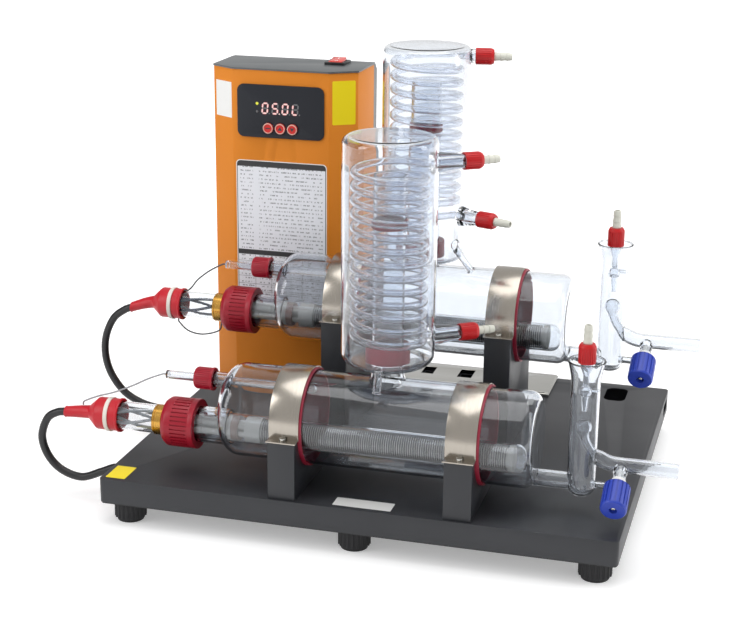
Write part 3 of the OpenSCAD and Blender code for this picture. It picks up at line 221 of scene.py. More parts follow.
def maths(tree, operation, *items):
    """A maths node: numbers are set, and sockets are linked."""
    numbers = {k: item for k, item in enumerate(items) if isinstance(item, (int, float))}
    sockets = {k: item for k, item in enumerate(items) if k not in numbers}
    return add_node(tree, "ShaderNodeMath", numbers, sockets,
                    operation=operation).outputs["Value"]


def new_look(name):
    """An empty material, kept in looks; gives back its tree and its Object coordinates."""
    looks[name] = bpy.data.materials.new(name)
    looks[name].use_nodes = True
    tree = looks[name].node_tree
    tree.nodes.clear()
    return tree, add_node(tree, "ShaderNodeTexCoord").outputs["Object"]


def surface(tree, kind, values=None, links=None):
    """Adds the last shader of a look and joins it to the output."""
    shader = add_node(tree, kind, values, links)
    add_node(tree, "ShaderNodeOutputMaterial", links={"Surface": shader.outputs[0]})


print("orange paint in linear light:", [round(c, 3) for c in linear("d0823c")[:3]])

# %% [markdown]
# **Powder coat** is sprayed as dry powder and baked, so it flows into a skin with a faint
# orange-peel texture of about half a millimetre. A noise texture drives a small bump for
# that skin, and a broad, weak noise shifts the colour so that no face is perfectly flat.

# %% Painted and moulded surfaces
PATCH_MM = 60.0


def coat(name, hex_value, roughness, grain_mm, bump, second_hex, specular=0.5, gloss=0.0):
    """A solid finish: grain in the bump, a weak drift in colour and in roughness."""
    tree, place = new_look(name)
    drift = noise(tree, place, 1000 / PATCH_MM, 3.0)
    skin = relief(tree, noise(tree, place, 1000 / grain_mm), bump, grain_mm * MM * 0.2)
    surface(tree, "ShaderNodeBsdfPrincipled",
            {"Specular IOR Level": specular, "Coat Weight": gloss, "Coat Roughness": 0.12},
            {"Base Color": blend(tree, drift, linear(hex_value), linear(second_hex)),
             "Roughness": spread(tree, drift, roughness * 0.86, roughness * 1.14),
             "Normal": skin})


# Dark grey fine-textured polyester powder coat on folded steel: soft broad reflections.
coat("grey_powder_coat", "2e3034", 0.44, 0.9, 0.25, "292a2e")
# The control box's top and pan: a satin grey coat painted paler than the tray's paint, a
# painted highlight for the light that falls on the top.
coat("painted_lit_top_grey_coat", "54585a", 0.36, 0.9, 0.2, "4c5052", 0.7)
# Black powder coat of the bottom plate, seen only from below.
coat("black_powder_coat", "2b2c2e", 0.5, 0.9, 0.25, "252628")
# Orange polyester powder coat, rather matt, with a slight orange peel.
coat("orange_powder_coat", "e0882f", 0.5, 1.1, 0.18, "da8229", 0.14)
# Moulded nitrile rubber of feet and grommets: matt black with a waxy bloom.
coat("black_rubber", "1c1c1e", 0.62, 0.7, 0.3, "232325")
# PVC cable jacket: extruded, so smooth, satin and slightly streaked.
coat("cable_jacket", "1a1a1c", 0.38, 1.6, 0.15, "202022")
# Heat-shrink sleeve on the thin leads: dull dark grey, and pale on the front one.
coat("lead_sleeve", "4c4c50", 0.45, 1.0, 0.1, "5a5a5e")
coat("pale_sleeve", "a2a3a6", 0.45, 1.0, 0.1, "909195")
# PBT screw caps, moulded in crimson with a satin skin; the hose caps are a brighter red.
coat("crimson_pbt", "a5122a", 0.36, 0.8, 0.12, "980e24", 0.4)
coat("red_pbt", "c91a1f", 0.38, 0.8, 0.12, "ba1419", 0.4)
# Polypropylene hose barbs: milky off-white, waxy.
coat("milky_polypropylene", "dadacf", 0.42, 1.0, 0.08, "d2d2c6")
# PTFE stopcock stem: pure white and slippery.
coat("white_ptfe", "ececea", 0.33, 1.0, 0.05, "e6e6e2")
# Nylon knob, moulded in blue, satin.
coat("blue_nylon", "2a44b4", 0.4, 0.8, 0.15, "233ba4")
# Unglazed alumina ceramic: chalky white.
coat("alumina", "efece4", 0.7, 0.6, 0.25, "e5e1d6")
# Pressed mica of the spacers: dull and flaky.
coat("mica", "b89a8c", 0.5, 0.8, 0.3, "a98878")
# Woven glass sleeves of the heater wires, slate in the rear and silver in the front.
coat("slate_sleeve", "4a5568", 0.4, 1.2, 0.15, "3c4658")
coat("silver_sleeve", "a9adb3", 0.35, 1.2, 0.15, "8d9197")
# Nylon cable ties.
coat("white_nylon", "e9e4dc", 0.42, 1.0, 0.1, "ded8ce")
# Slate polycarbonate film of the display panel, satin from its fine back texture.
coat("gloss_black_panel", "292b31", 0.42, 2.0, 0.02, "27292f", 0.2)
# ABS frame of the rocker switch.
coat("black_abs", "1b1b1d", 0.35, 0.7, 0.15, "202022")
# Fibreglass circuit board with green solder mask.
coat("solder_mask", "2c6b45", 0.35, 1.2, 0.15, "245d3b")
# White and yellow vinyl of the blank labels, and grey-black print on them.
coat("white_vinyl", "f0f0ee", 0.4, 1.0, 0.03, "ebebe8")
coat("yellow_vinyl", "fbe314", 0.4, 1.0, 0.03, "f5dd10")
coat("black_print", "26272a", 0.5, 1.0, 0.03, "2c2d30")
# Clear red acrylic of the rocker, and the push buttons' ABS with a pale pink rim round its
# face.
coat("red_acrylic", "e0301c", 0.14, 2.0, 0.02, "d42a18", gloss=0.5)
coat("red_button", "d8302c", 0.4, 1.0, 0.05, "cc2a26", 0.3)
coat("button_rim", "e8b4a4", 0.35, 1.0, 0.05, "dea596")
# Unlit segments of the display: grey epoxy.
coat("digit_dark", "6d6d70", 0.4, 1.0, 0.03, "666669")
print(len(looks), "coats")

# %% [markdown]
# **Metals** start at metallic 1 with the default IOR. Brushing leaves fine scratches in
# one direction. Stretching a noise along that direction gives streaks, which drive the
# roughness and a very small bump.

# %% Metals
def brushed(name, hex_value, roughness, stretch, streak_mm=0.6, bump=0.15):
    """Brushed metal; stretch is the Mapping scale that draws the streaks out."""
    tree, place = new_look(name)
    drawn = add_node(tree, "ShaderNodeMapping", {"Scale": stretch}, {"Vector": place})
    streaks = noise(tree, drawn.outputs["Vector"], 1000 / streak_mm, 4.0)
    surface(tree, "ShaderNodeBsdfPrincipled", {"Metallic": 1.0},
            {"Base Color": blend(tree, streaks, linear(hex_value), linear(hex_value, 0.8)),
             "Roughness": spread(tree, streaks, roughness * 0.75, roughness * 1.25),
             "Normal": relief(tree, streaks, bump, 0.00003)})


# Stainless strip, brushed along its length, so the streaks run round the band.
brushed("band_steel", "b2aba1", 0.25, (1.0, 0.03, 0.03))
# Bright stainless screws.
brushed("screw_steel", "d2d1cc", 0.2, (1.0, 1.0, 0.2))
# Polished steel of the raised service plate, which mirrors the dark stands.
brushed("service_steel", "c9c8c3", 0.09, (0.05, 1.0, 1.0), bump=0.05)
# Turned brass collar: rings from the lathe tool, so the streaks run round it.
brushed("turned_brass", "cf9f4e", 0.26, (1.0, 0.1, 0.1), 0.8, 0.3)
# Resistance wire with a dull oxide skin.
brushed("oxidised_wire", "8b8782", 0.42, (0.2, 1.0, 1.0))
print("metals ready")

# %% [markdown]
# **Glass**: borosilicate has an IOR of 1.47 and almost no colour. Every vessel is modelled
# with its real wall, so Cycles bends the light by itself and the dark rims appear where
# they should. A faint waviness in the bump comes from drawing tube by hand at a flame.

# %% Glass, silicone and light
FINE_BUMP = 0.0002


def glass(name, hex_value, ior, wave_mm, wave):
    tree, place = new_look(name)
    ripple = noise(tree, place, 1000 / wave_mm, 1.0)
    surface(tree, "ShaderNodeBsdfPrincipled",
            {"Base Color": linear(hex_value), "Roughness": 0.0, "IOR": ior,
             "Transmission Weight": 1.0}, {"Normal": relief(tree, ripple, wave, FINE_BUMP)})


def silicone(name, hex_value, glow):
    """Cured silicone: light enters, scatters and comes back a little further on."""
    tree, place = new_look(name)
    drift = noise(tree, place, 40.0, 3.0)
    surface(tree, "ShaderNodeBsdfPrincipled",
            {"Roughness": 0.42, "Subsurface Weight": glow, "Subsurface Scale": 0.002,
             "Subsurface Radius": (1.0, 0.3, 0.2)},
            {"Base Color": blend(tree, drift, linear(hex_value), linear(hex_value, 0.82)),
             "Normal": relief(tree, noise(tree, place, 900.0), 0.15, FINE_BUMP)})


def emitter(name, hex_value, strength):
    """A lit lamp body: a glow that is a little uneven, like light in a moulded lens."""
    tree, place = new_look(name)
    level = spread(tree, noise(tree, place, 700.0), strength * 0.85, strength * 1.15)
    surface(tree, "ShaderNodeEmission", {"Color": linear(hex_value)}, {"Strength": level})


# Borosilicate of boilers and chambers; a breath of blue from its thickness.
glass("borosilicate", "eef1f5", 1.47, 30.0, 0.25)
# Thin drawn tube of the coils and thermowells.
glass("drawn_tube", "f0f2f6", 1.47, 16.0, 0.3)
# Fused quartz of the heater sheaths.
glass("quartz", "f6f8fa", 1.458, 22.0, 0.15)
# Silicone: bright red boots, and crimson liners, bungs and seals.
silicone("red_silicone", "c90c22", 0.1)
silicone("crimson_silicone", "a0203a", 0.15)
# The display's light-emitting segments, nearly white in the middle of a red halo.
emitter("digit_halo", "e8303a", 0.85)
emitter("digit_core", "ffdcd8", 1.0)
emitter("indicator", "f0f05a", 1.0)
print(len(looks), "finishes")

# %% [markdown]
# The studio: a pale floor that keeps the shadow, a white surround for what the camera,
# the metal and the glass see, and three soft boxes. Glass on white is drawn by its dark
# rims, and those come from darker parts of the room at the sides. The surround is
# therefore bright in front of and behind the bench and dark at its two sides. Mirror
# reflections see a dimmer room, so that paint keeps its colour.

# %% Surround
SURROUND, SIDE_GREY, MIRROR_SHARE, DIFFUSE_LEVEL = 1.0, 0.05, 0.7, 0.6
world = bpy.data.worlds.new("studio")
bpy.context.scene.world = world
world.use_nodes = True
sky = world.node_tree
sky.nodes.clear()
direction = add_node(sky, "ShaderNodeTexCoord").outputs["Generated"]
parts = add_node(sky, "ShaderNodeSeparateXYZ", links={"Vector": direction})
room = add_node(sky, "ShaderNodeMapRange",
                {"From Min": 0.42, "From Max": 0.8, "To Min": SURROUND, "To Max": SIDE_GREY},
                {"Value": maths(sky, "ABSOLUTE", parts.outputs["X"])},
                interpolation_type="SMOOTHSTEP").outputs["Result"]
sky_ray = add_node(sky, "ShaderNodeLightPath")


def white_sky(strength=1.0, source=None):
    return add_node(sky, "ShaderNodeBackground", {"Color": (1, 1, 1, 1), "Strength": strength},
                    {"Strength": source} if source else None).outputs["Background"]


def for_rays(kind, others, these):
    """Gives one background to one kind of ray, and another to all others."""
    return add_node(sky, "ShaderNodeMixShader", links={
        0: sky_ray.outputs[kind], 1: others, 2: these}).outputs["Shader"]


dim_room = white_sky(source=maths(sky, "MULTIPLY", room, MIRROR_SHARE))
seen = for_rays("Is Glossy Ray", white_sky(DIFFUSE_LEVEL), dim_room)
seen = for_rays("Is Transmission Ray", seen, white_sky(source=room))
seen = for_rays("Is Camera Ray", seen, white_sky())
add_node(sky, "ShaderNodeOutputWorld", links={"Surface": seen})
print("surround ready")

# %% [markdown]
# The floor is matt paper. Rays that look at it also see a glow that grows with distance,
# so it fades into the white room but keeps the object's shadow.

# %% Floor
bpy.ops.object.select_all(action="DESELECT")
bpy.ops.mesh.primitive_plane_add(size=40.0, location=(0, 0, 0))
floor = bpy.context.object
floor.name = "studio_floor"
bpy.ops.object.mode_set(mode="EDIT")
bpy.ops.mesh.subdivide(number_cuts=1)
bpy.ops.object.mode_set(mode="OBJECT")
tree, place = new_look("pale_floor")
ray = add_node(tree, "ShaderNodeLightPath").outputs
looked_at = maths(tree, "MAXIMUM", ray["Is Camera Ray"], ray["Is Glossy Ray"])
looked_at = maths(tree, "MAXIMUM", looked_at, ray["Is Transmission Ray"])
distance = add_node(tree, "ShaderNodeVectorMath", links={0: place}, operation="LENGTH")
further = add_node(tree, "ShaderNodeMapRange", {"From Min": 0.5, "From Max": 1.6,
                   "To Min": 0.32, "To Max": 0.75}, {"Value": distance.outputs["Value"]})
lift = maths(tree, "MULTIPLY", looked_at, further.outputs["Result"])
paper = blend(tree, noise(tree, place, 2.0), linear("eeeeef"), linear("f0f0f0"))
matt = add_node(tree, "ShaderNodeBsdfDiffuse", links={"Color": paper})
glow = add_node(tree, "ShaderNodeEmission", links={"Strength": lift})
surface(tree, "ShaderNodeAddShader", links={0: matt.outputs["BSDF"],
                                            1: glow.outputs["Emission"]})
floor.data.materials.append(looks["pale_floor"])
print("floor", tuple(floor.dimensions))

# %% Lamps
for name, at, to, wide, high, power in (
        ("overhead_box", (0.1, -0.1, 2.3), (0.0, 0.0, 0.1), 2.2, 1.6, 26.0),
        ("right_box", (2.1, 0.3, 1.1), (0.0, 0.0, 0.2), 0.7, 1.8, 16.0),
        ("left_box", (-1.9, -1.4, 1.3), (0.0, -0.1, 0.2), 0.8, 1.6, 18.0)):
    soft_box = bpy.data.lights.new(name, "AREA")
    soft_box.shape = "RECTANGLE"
    soft_box.size, soft_box.size_y = wide, high
    soft_box.energy = power
    lamp = bpy.data.objects.new(name, soft_box)
    bpy.context.scene.collection.objects.link(lamp)
    lamp.matrix_world = aimed(at, to)
print("lamps ready")

# %% [markdown]
# Glassware is turned and blown, so most of it is a profile spun round an axis. Our lathe
# starts from a plane that is merged to a single point, draws the profile by extruding
# that point, and spins it. A wall is then one closed profile that runs up the outside
# and down the inside.

# %% A lathe and other tools
def pick(piece=None):
    """Makes a piece the only selected one and the active one; none just clears."""
    bpy.ops.object.select_all(action="DESELECT")
    if piece:
        piece.select_set(True)
        bpy.context.view_layer.objects.active = piece
    return piece


def start_drawing(points):
    """Edit mode on a chain of edges through points, drawn by extruding a single point."""
    pick()
    bpy.ops.mesh.primitive_plane_add(size=0.001, location=(0, 0, 0))
    bpy.ops.object.mode_set(mode="EDIT")
    bpy.ops.mesh.select_all(action="SELECT")
    bpy.ops.mesh.merge(type="CENTER")
    bpy.ops.transform.translate(value=points[0])
    for here, there in zip(points, points[1:]):
        bpy.ops.mesh.extrude_region_move(TRANSFORM_OT_translate={"value": there - here})
    bpy.ops.mesh.select_all(action="SELECT")


def end_drawing(weld=None, place=None):
    """Welds the mesh, turns its faces outward, leaves edit mode and moves it to its place."""
    bpy.ops.mesh.select_all(action="SELECT")
    if weld:
        bpy.ops.mesh.remove_doubles(threshold=weld)
    bpy.ops.mesh.normals_make_consistent(inside=False)
    bpy.ops.object.mode_set(mode="OBJECT")
    if place:
        bpy.context.object.data.transform(place)
    return bpy.context.object


def axis_place(origin, direction):
    """A matrix that lays Z along a direction, from an origin in mm."""
    turn = Vector(direction).normalized().to_track_quat("Z", "Y").to_matrix().to_4x4()
    return Matrix.Translation(Vector(origin) * MM) @ turn


def lathe(profile, origin, direction=UP, steps=96, closed=False):
    """Spins (radius, height) points in mm round an axis through origin along direction."""
    points = [Vector((r * MM, 0, h * MM)) for r, h in profile]
    start_drawing(points + points[:1] if closed else points)
    bpy.ops.mesh.spin(steps=steps, angle=2 * pi, center=(0, 0, 0), axis=(0, 0, 1))
    return end_drawing(2e-6, axis_place(origin, direction))


def modify(piece, kind, **settings):
    """Adds a modifier to a piece, sets it and applies it."""
    change = pick(piece).modifiers.new("change", kind)
    for key, value in settings.items():
        setattr(change, key, value)
    bpy.ops.object.modifier_apply(modifier=change.name)
    return piece


def cut(piece, tool, operation="DIFFERENCE"):
    """Applies a Boolean of piece with tool, and removes the tool."""
    modify(piece, "BOOLEAN", operation=operation, solver="MANIFOLD", object=tool)
    bpy.data.objects.remove(tool, do_unlink=True)
    return piece


def joined(pieces):
    """Joins finished pieces into the first of them."""
    pick(pieces[0])
    for piece in pieces:
        piece.select_set(True)
    if len(pieces) > 1:
        bpy.ops.object.join()
    return pieces[0]


def ring_set(profile, places, direction=RIGHT, steps=96):
    """One closed profile turned at several places, as one object."""
    return joined([lathe(profile, place, direction, steps, True) for place in places])


def dress(piece, name, look, body="frame", crease=None):
    """Gives a finished piece its shading, name, material and body.

    A piece with the name of a CAD node stands for that node.
    """
    if crease:
        pick(piece)
        bpy.ops.object.shade_smooth_by_angle(angle=radians(crease))
    piece.data.materials.clear()
    piece.data.materials.append(looks[look])
    piece.name = "dressed_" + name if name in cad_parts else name
    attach(piece, body)
    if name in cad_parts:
        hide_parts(name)
    return piece


for node, cord in cords.items():
    cord.data.materials.append(looks[CORDS[node][2]])
print("lathe ready")

# %% [markdown]
# **Boilers.** The real one is a length of 100 mm tube whose ends are worked round at the
# flame. Two screw necks are fused to the left end, a link tube to the right end and a
# flared vapour riser to the top. We lathe each body as a solid, join the outsides, join
# the insides in the same way, and take the inside from the outside. That leaves one
# continuous wall without any hidden inner skins, which would show as ghost lines in glass.

# %% Boilers
def arc(centre_r, centre_h, radius, start, end, count=8):
    """Profile points on an arc; angles in degrees from the radial direction."""
    return [(centre_r + radius * cos(radians(start + (end - start) * k / count)),
             centre_h + radius * sin(radians(start + (end - start) * k / count)))
            for k in range(count + 1)]


def can_profile(radius, low, high, low_r, high_r, wall=0.0):
    """A closed can from the axis round to the axis again, or its inside under a wall."""
    radius, low, high = radius - wall, low + wall, high - wall
    low_r, high_r = low_r - wall, high_r - wall
    return ([(0, low)] + arc(radius - low_r, low + low_r, low_r, -90, 0)
            + arc(radius - high_r, high - high_r, high_r, 0, 90) + [(0, high)])


def rod_profile(radius, low, high):
    return [(0, low), (radius, low), (radius, high), (0, high)]


def thread_beads(radius, low, high, pitch, height):
    """Rounded rings that stand for a moulded glass thread, as profile points."""
    points = []
    level = low
    while level + pitch <= high:
        points += [(radius, level), (radius + height * 0.8, level + pitch * 0.3),
                   (radius + height * 0.8, level + pitch * 0.5), (radius, level + pitch * 0.8)]
        level += pitch
    return points


def fuse(body, hollow, place, outside, inside, steps=96, bore_steps=None):
    """Joins a branch to a body, and the inside of the branch to the body's hollow."""
    cut(body, lathe(outside, *place, steps), "UNION")
    cut(hollow, lathe(inside, *place, bore_steps or steps), "UNION")


RISER_R, RISER_TOP, RISER_WALL = 16.5, 197.0, 1.8
LINK_R, LINK_BORE = 9.0, 7.2
HEATER_NECK = ([(0, -213), (19.0, -213), (19.5, -212)]
               + thread_beads(19.5, -211, -187, 5, 1.0)
               + [(19.5, -186), (19.5, -141), (0, -141)])


def riser_profile(axis_z, jacket_z, shrink=0.0, top_over=0.0):
    """The riser with its flared foot; its inside is narrower and runs past the top."""
    foot = BOILER_R * 0.86
    gap = jacket_z - axis_z - foot
    bell = [(RISER_R + 7.0 * (1 - k / 5) ** 2.2, axis_z + foot - 2 + gap * 0.9 * k / 5)
            for k in range(6)]
    top = jacket_z + RISER_TOP + top_over
    return ([(0, axis_z + foot - 2 - shrink * 0.4)] + [(r - shrink, h) for r, h in bell]
            + [(RISER_R - shrink, top), (0, top)])


for side, (y, z, riser_x, jacket_z) in STAGES.items():
    can = (BOILER_R, BOILER_LEFT, BOILER_RIGHT, 20, 12)
    body = lathe(can_profile(*can), (0, y, z), RIGHT, 144)
    hollow = lathe(can_profile(*can, GLASS), (0, y, z), RIGHT, 144)
    fuse(body, hollow, ((0, y, z - HEATER_DROP), RIGHT), HEATER_NECK,
         rod_profile(17.1, -214, -140))
    fuse(body, hollow, ((0, y, z + WELL_RISE), RIGHT), rod_profile(8.6, -182, -141),
         rod_profile(6.8, -183, -140), 64)
    fuse(body, hollow, ((0, y, z - LINK_DROP), RIGHT), rod_profile(LINK_R, 174, 192),
         rod_profile(LINK_BORE, 173, 193), 64)
    fuse(body, hollow, ((riser_x, y, 0), UP), riser_profile(z, jacket_z),
         riser_profile(z, jacket_z, RISER_WALL, 1))
    dress(cut(body, hollow), side + "_boiler", "borosilicate", crease=40)
    print(body.name, len(body.data.polygons))

# %% [markdown]
# **Condenser jackets** are closed cans with a hole in the floor for the riser's bung, two
# screw necks for the cooling coil and a small bulb with a spout, where the distillate
# leaves. The same outside-less-inside recipe works here.

# %% Condenser jackets
JACKET_R, JACKET_H, JACKET_WALL = 48.5, 237.0, 2.2
# Each port: its angle from the right, its height and how far its neck stands out.
PORTS = {"front": [(35, 25, 30), (35, 206, 30)], "rear": [(-20, 54, 23), (10, 226, 3.5)]}
# Each outlet: angle, distance and height of its bulb, tilt and length of its spout.
OUTLETS = {"front": (-90, 34, 8, 17, 29), "rear": (-30, 43, 23, 50, 38)}
PORT_BORE, HOSE_NECK_R, HOSE_NECK_L, SEAT_GAP = 4.2, 6.2, 16.0, 0.2


def level_direction(degrees):
    return Vector((cos(radians(degrees)), sin(radians(degrees)), 0))


def ports(side):
    """Each port's direction, and the point where its cap and barb are seated."""
    y, _, x, jacket_z = STAGES[side]
    for angle, height, reach in PORTS[side]:
        way = level_direction(angle)
        yield Vector((x, y, jacket_z + height)) + way * (JACKET_R + reach + SEAT_GAP), way


def hose_thread(tip):
    """The threaded end of a hose neck, from its shoulder to the axis."""
    return (thread_beads(HOSE_NECK_R, tip + 1.5, tip + 13, 2.5, 0.28)
            + [(HOSE_NECK_R, tip + HOSE_NECK_L), (0, tip + HOSE_NECK_L)])


for side, (y, _, x, jacket_z) in STAGES.items():
    can = (JACKET_R, 0, JACKET_H, 13, 8)
    body = lathe(can_profile(*can), (x, y, jacket_z), steps=144)
    hollow = lathe(can_profile(*can, JACKET_WALL), (x, y, jacket_z), steps=144)
    cut(hollow, lathe(rod_profile(23.08, -1, 4), (x, y, jacket_z)), "UNION")
    for angle, height, reach in PORTS[side]:
        root, tip = JACKET_R - 5, JACKET_R + reach
        wide = HOSE_NECK_R + 1 + min(5, reach / 5)
        neck = [(0, root), (wide, root), (HOSE_NECK_R + 1, tip), (HOSE_NECK_R, tip + 0.6)]
        fuse(body, hollow, ((x, y, jacket_z + height), level_direction(angle)),
             neck + hose_thread(tip), rod_profile(PORT_BORE, JACKET_R - 8, tip + 17), 64, 48)
    angle, start, height, tilt, length = OUTLETS[side]
    way = level_direction(angle)
    bulb = Vector((x, y, jacket_z)) + way * start + Vector((0, 0, height))
    down = way * sin(radians(tilt)) - Vector((0, 0, cos(radians(tilt))))
    spout = arc(0, 0, 8, -90, 58) + [(4.1, 8.6), (4.1, length - 1.6), (4.9, length - 0.9),
                                     (4.9, length + 0.4), (4.1, length + 1), (0, length + 1)]
    bore = arc(0, 0, 6.6, -90, 64) + [(2.7, 8.0), (2.7, length + 2), (0, length + 2)]
    fuse(body, hollow, (bulb, down), spout, bore, 64)
    dress(cut(body, hollow), side + "_condenser_jacket", "borosilicate",
          side + "_condenser", 40)
    print(body.name, len(body.data.polygons))

# %% [markdown]
# **Cooling coils** are glass tube wound hot on a mandrel. A coil is a helix with a short
# quarter bend at each end, so that its tails run straight out through the jacket's necks.
# A curve with a round bevel gives the outside, and Solidify gives the tube its wall.

# %% Condenser coils
COIL_TUBE_R, COIL_WALL, COIL_R, COIL_PITCH, BEND_R = 4.0, 1.1, 36.5, 14, 6.0


def coil_route(side, per_turn=56, bend_spans=6):
    y, _, x, jacket_z = STAGES[side]
    (low_a, low_h, _), (high_a, high_h, _) = PORTS[side]
    centre = Vector((x, y, jacket_z))
    turns = round((high_h - low_h) / COIL_PITCH)
    swing = asin(BEND_R / (COIL_R + BEND_R)) * 180 / pi
    start = (COIL_R + BEND_R) * cos(radians(swing))
    sweep = 360 * turns + low_a - high_a - 2 * swing
    bends = [(start - BEND_R * sin(radians(a)), BEND_R * (1 - cos(radians(a))))
             for a in [k * (90 - swing) / bend_spans for k in range(bend_spans)]]

    def spot(radius, aside, angle, height):
        way = level_direction(angle)
        across = Vector((way.y, -way.x, 0))
        return centre + way * radius + across * aside + Vector((0, 0, height))

    steps = turns * per_turn
    return ([spot(JACKET_R + 2, 0, low_a, low_h)]
            + [spot(r, a, low_a, low_h) for r, a in bends]
            + [spot(COIL_R, 0, low_a - swing - sweep * k / steps,
                    low_h + (high_h - low_h) * k / steps) for k in range(steps + 1)]
            + [spot(r, -a, high_a, high_h) for r, a in reversed(bends)]
            + [spot(JACKET_R + 2, 0, high_a, high_h)])


def tube_along(points, radius, wall=0.0, sides=16, radii=None):
    """A round tube along points in mm, hollow when it has a wall; radii vary its width."""
    shares = [own / radius for own in radii] if radii else [1.0] * len(points)
    curve = poly_curve("tube", [Vector(p) * MM for p in points], shares, radius * MM,
                       max(0, sides // 4 - 1), wall == 0.0)
    pick(curve)
    bpy.ops.object.convert(target="MESH")
    bpy.ops.object.mode_set(mode="EDIT")
    tube = end_drawing(1e-6)
    return modify(tube, "SOLIDIFY", thickness=wall * MM, offset=-1.0) if wall else tube


for side in STAGES:
    coil = tube_along(coil_route(side), COIL_TUBE_R, COIL_WALL)
    dress(coil, side + "_condenser_coil", "drawn_tube", side + "_condenser", 50)
    print(coil.name, len(coil.data.polygons))

# %% [markdown]
# **Level chambers** keep the water in each boiler at one height. Water drips from a thin
# feed tube into the flared mouth, the surplus leaves through the overflow arm, and a
# stopcock at the foot drains the boiler. Each is one fused piece of glass.

# %% Level chambers
CHAMBER_X, CHAMBER_R, MOUTH_R, MOUTH_Z, FOOT_Z = 228.0, 14.7, 19.0, 90.0, -54.0
CHAMBER_WALL, ARM_WALL, FEED_Z = 1.8, 1.5, 88.0
ARM_R, ARM_Z, ARM_TOP, ARM_END, ARM_BEND = 8.0, -17.0, 27, 97.0, 36.0
COCK_X, COCK_SLOPE = 40.0, 26.0
COCK_WAY = Vector((0, -cos(radians(COCK_SLOPE)), -sin(radians(COCK_SLOPE))))
RIM = [(17.6, 89.2), (18.4, 88.8), (19.3, 89.4), (19.4, 90.3), (18.6, 91), (17.7, 90.5)]
BARREL = [(0, 0), (6.5, 0), (6.5, 3), (7.4, 5), (7.4, 11), (6.5, 14), (6.5, 21), (0, 21)]
DRAIN_END = [(35, 0, -41), (38, -6.3, -32), (40, -12.58, -23.14)]
FEED = ([(0, 37), (2.6, 37), (4.0, 54)] + arc(0, 58, 6.4, -38, 62)
        + [(3, 63.9), (3, FEED_Z - 12), (HOSE_NECK_R, FEED_Z - 3.9)] + hose_thread(FEED_Z))
FEED_BORE = ([(0, 36), (1.0, 36), (2.4, 54)] + arc(0, 58, 4.8, -50, 68)
             + [(2.2, 63), (2.2, FEED_Z - 12), (4.6, FEED_Z - 3.9), (4.6, FEED_Z + 17),
                (0, FEED_Z + 17)])


def chamber_profile(shrink, top):
    r = CHAMBER_R - shrink
    corner = 11.76 - shrink
    low = FOOT_Z + shrink
    flare = [(r + (MOUTH_R - shrink - r) * (k / 5) ** 1.6, 66 + 24 * k / 5) for k in range(6)]
    return ([(0, low)] + arc(r - corner, low + corner, corner, -90, 0) + flare
            + [(MOUTH_R - shrink, top), (0, top)])


def overflow_route(start, end):
    bend = [(ARM_BEND - ARM_BEND * cos(radians(a)), 0,
             ARM_Z + ARM_BEND - ARM_BEND * sin(radians(a))) for a in range(0, 91, 3)]
    return [(0, 0, h) for h in (start, 25.5, 24, 22, 20.5)] + bend + [(end, 0, ARM_Z)]


# The overflow tube's radius at lengths along it: a bulb, a thin neck, then the full arm.
SWELL = ((-9, 4.0), (0, 4.2), (1.5, 6.2), (3, 7.4), (5, 8.2), (7, 8.4), (9, 8.1), (11, 7.2),
         (13, 6.0), (15, 5.1), (18, 4.7), (34, 4.7), (44, ARM_R), (400, ARM_R))


def overflow_tube(foot, over, wall):
    """The overflow tube, or its bore when it is longer by over and thinner by a wall."""
    route = overflow_route(ARM_TOP + over, ARM_END + over)
    radii, run, last = [], -over, Vector(route[0])
    for place in route:
        run += (Vector(place) - last).length
        last = Vector(place)
        for (a, low), (b, high) in zip(SWELL, SWELL[1:]):
            if a <= run < b:
                radii.append(low + (high - low) * (run - a) / (b - a) - wall)
    return tube_along([foot + Vector(p) for p in route], ARM_R - wall, sides=48, radii=radii)


def drain_tube(foot, start, radius):
    return tube_along([foot + Vector(p) for p in [(start, 0, -41)] + DRAIN_END], radius,
                      sides=24)


for side, (y, z, _, _) in STAGES.items():
    foot = Vector((CHAMBER_X, y, z))
    link = (foot - Vector((0, 0, LINK_DROP)), RIGHT)
    cock = (foot + Vector((COCK_X, 0, ARM_Z)), COCK_WAY)
    body = lathe(chamber_profile(0, MOUTH_Z), foot)
    cut(body, lathe(rod_profile(LINK_R, -36, -9.7), *link, 64), "UNION")
    cut(body, lathe(chamber_profile(CHAMBER_WALL, MOUTH_Z + 1), foot))
    cut(body, lathe(RIM, foot, closed=True), "UNION")
    cut(body, overflow_tube(foot, 0, 0), "UNION")
    cut(body, drain_tube(foot, 9.7, 3.8), "UNION")
    cut(body, lathe(BARREL, *cock, 64), "UNION")
    cut(body, lathe(FEED, foot, steps=64), "UNION")
    cut(body, lathe(rod_profile(2, 2, 13.8), foot + Vector((0, 0, 60)), RIGHT, 24), "UNION")
    cut(body, lathe(rod_profile(LINK_BORE, -37, -10.7), *link, 64))
    cut(body, overflow_tube(foot, 1, ARM_WALL))
    cut(body, drain_tube(foot, 9.2, 2.3))
    cut(body, lathe(rod_profile(4.28, 4, 25), *cock, 48))
    cut(body, lathe(FEED_BORE, foot, steps=48))
    dress(body, side + "_level_chamber", "borosilicate", crease=40)
    print(body.name, len(body.data.polygons))

# %% [markdown]
# **Heaters.** Each boiler is heated by a resistance wire wound on a ceramic rod inside a
# quartz tube with a round end. The real wire has more than a hundred close turns, far
# more than the CAD form needs, so here we wind it again at its true pitch.

# %% Quartz sheaths and thermowells
SHEATH_R, SHEATH_WALL, SHEATH_TIP = 15.5, 1.3, 176.0
WELL_R, WELL_WALL, WELL_LEFT, WELL_RIGHT = 4.7, 1.2, -222.0, -58.0


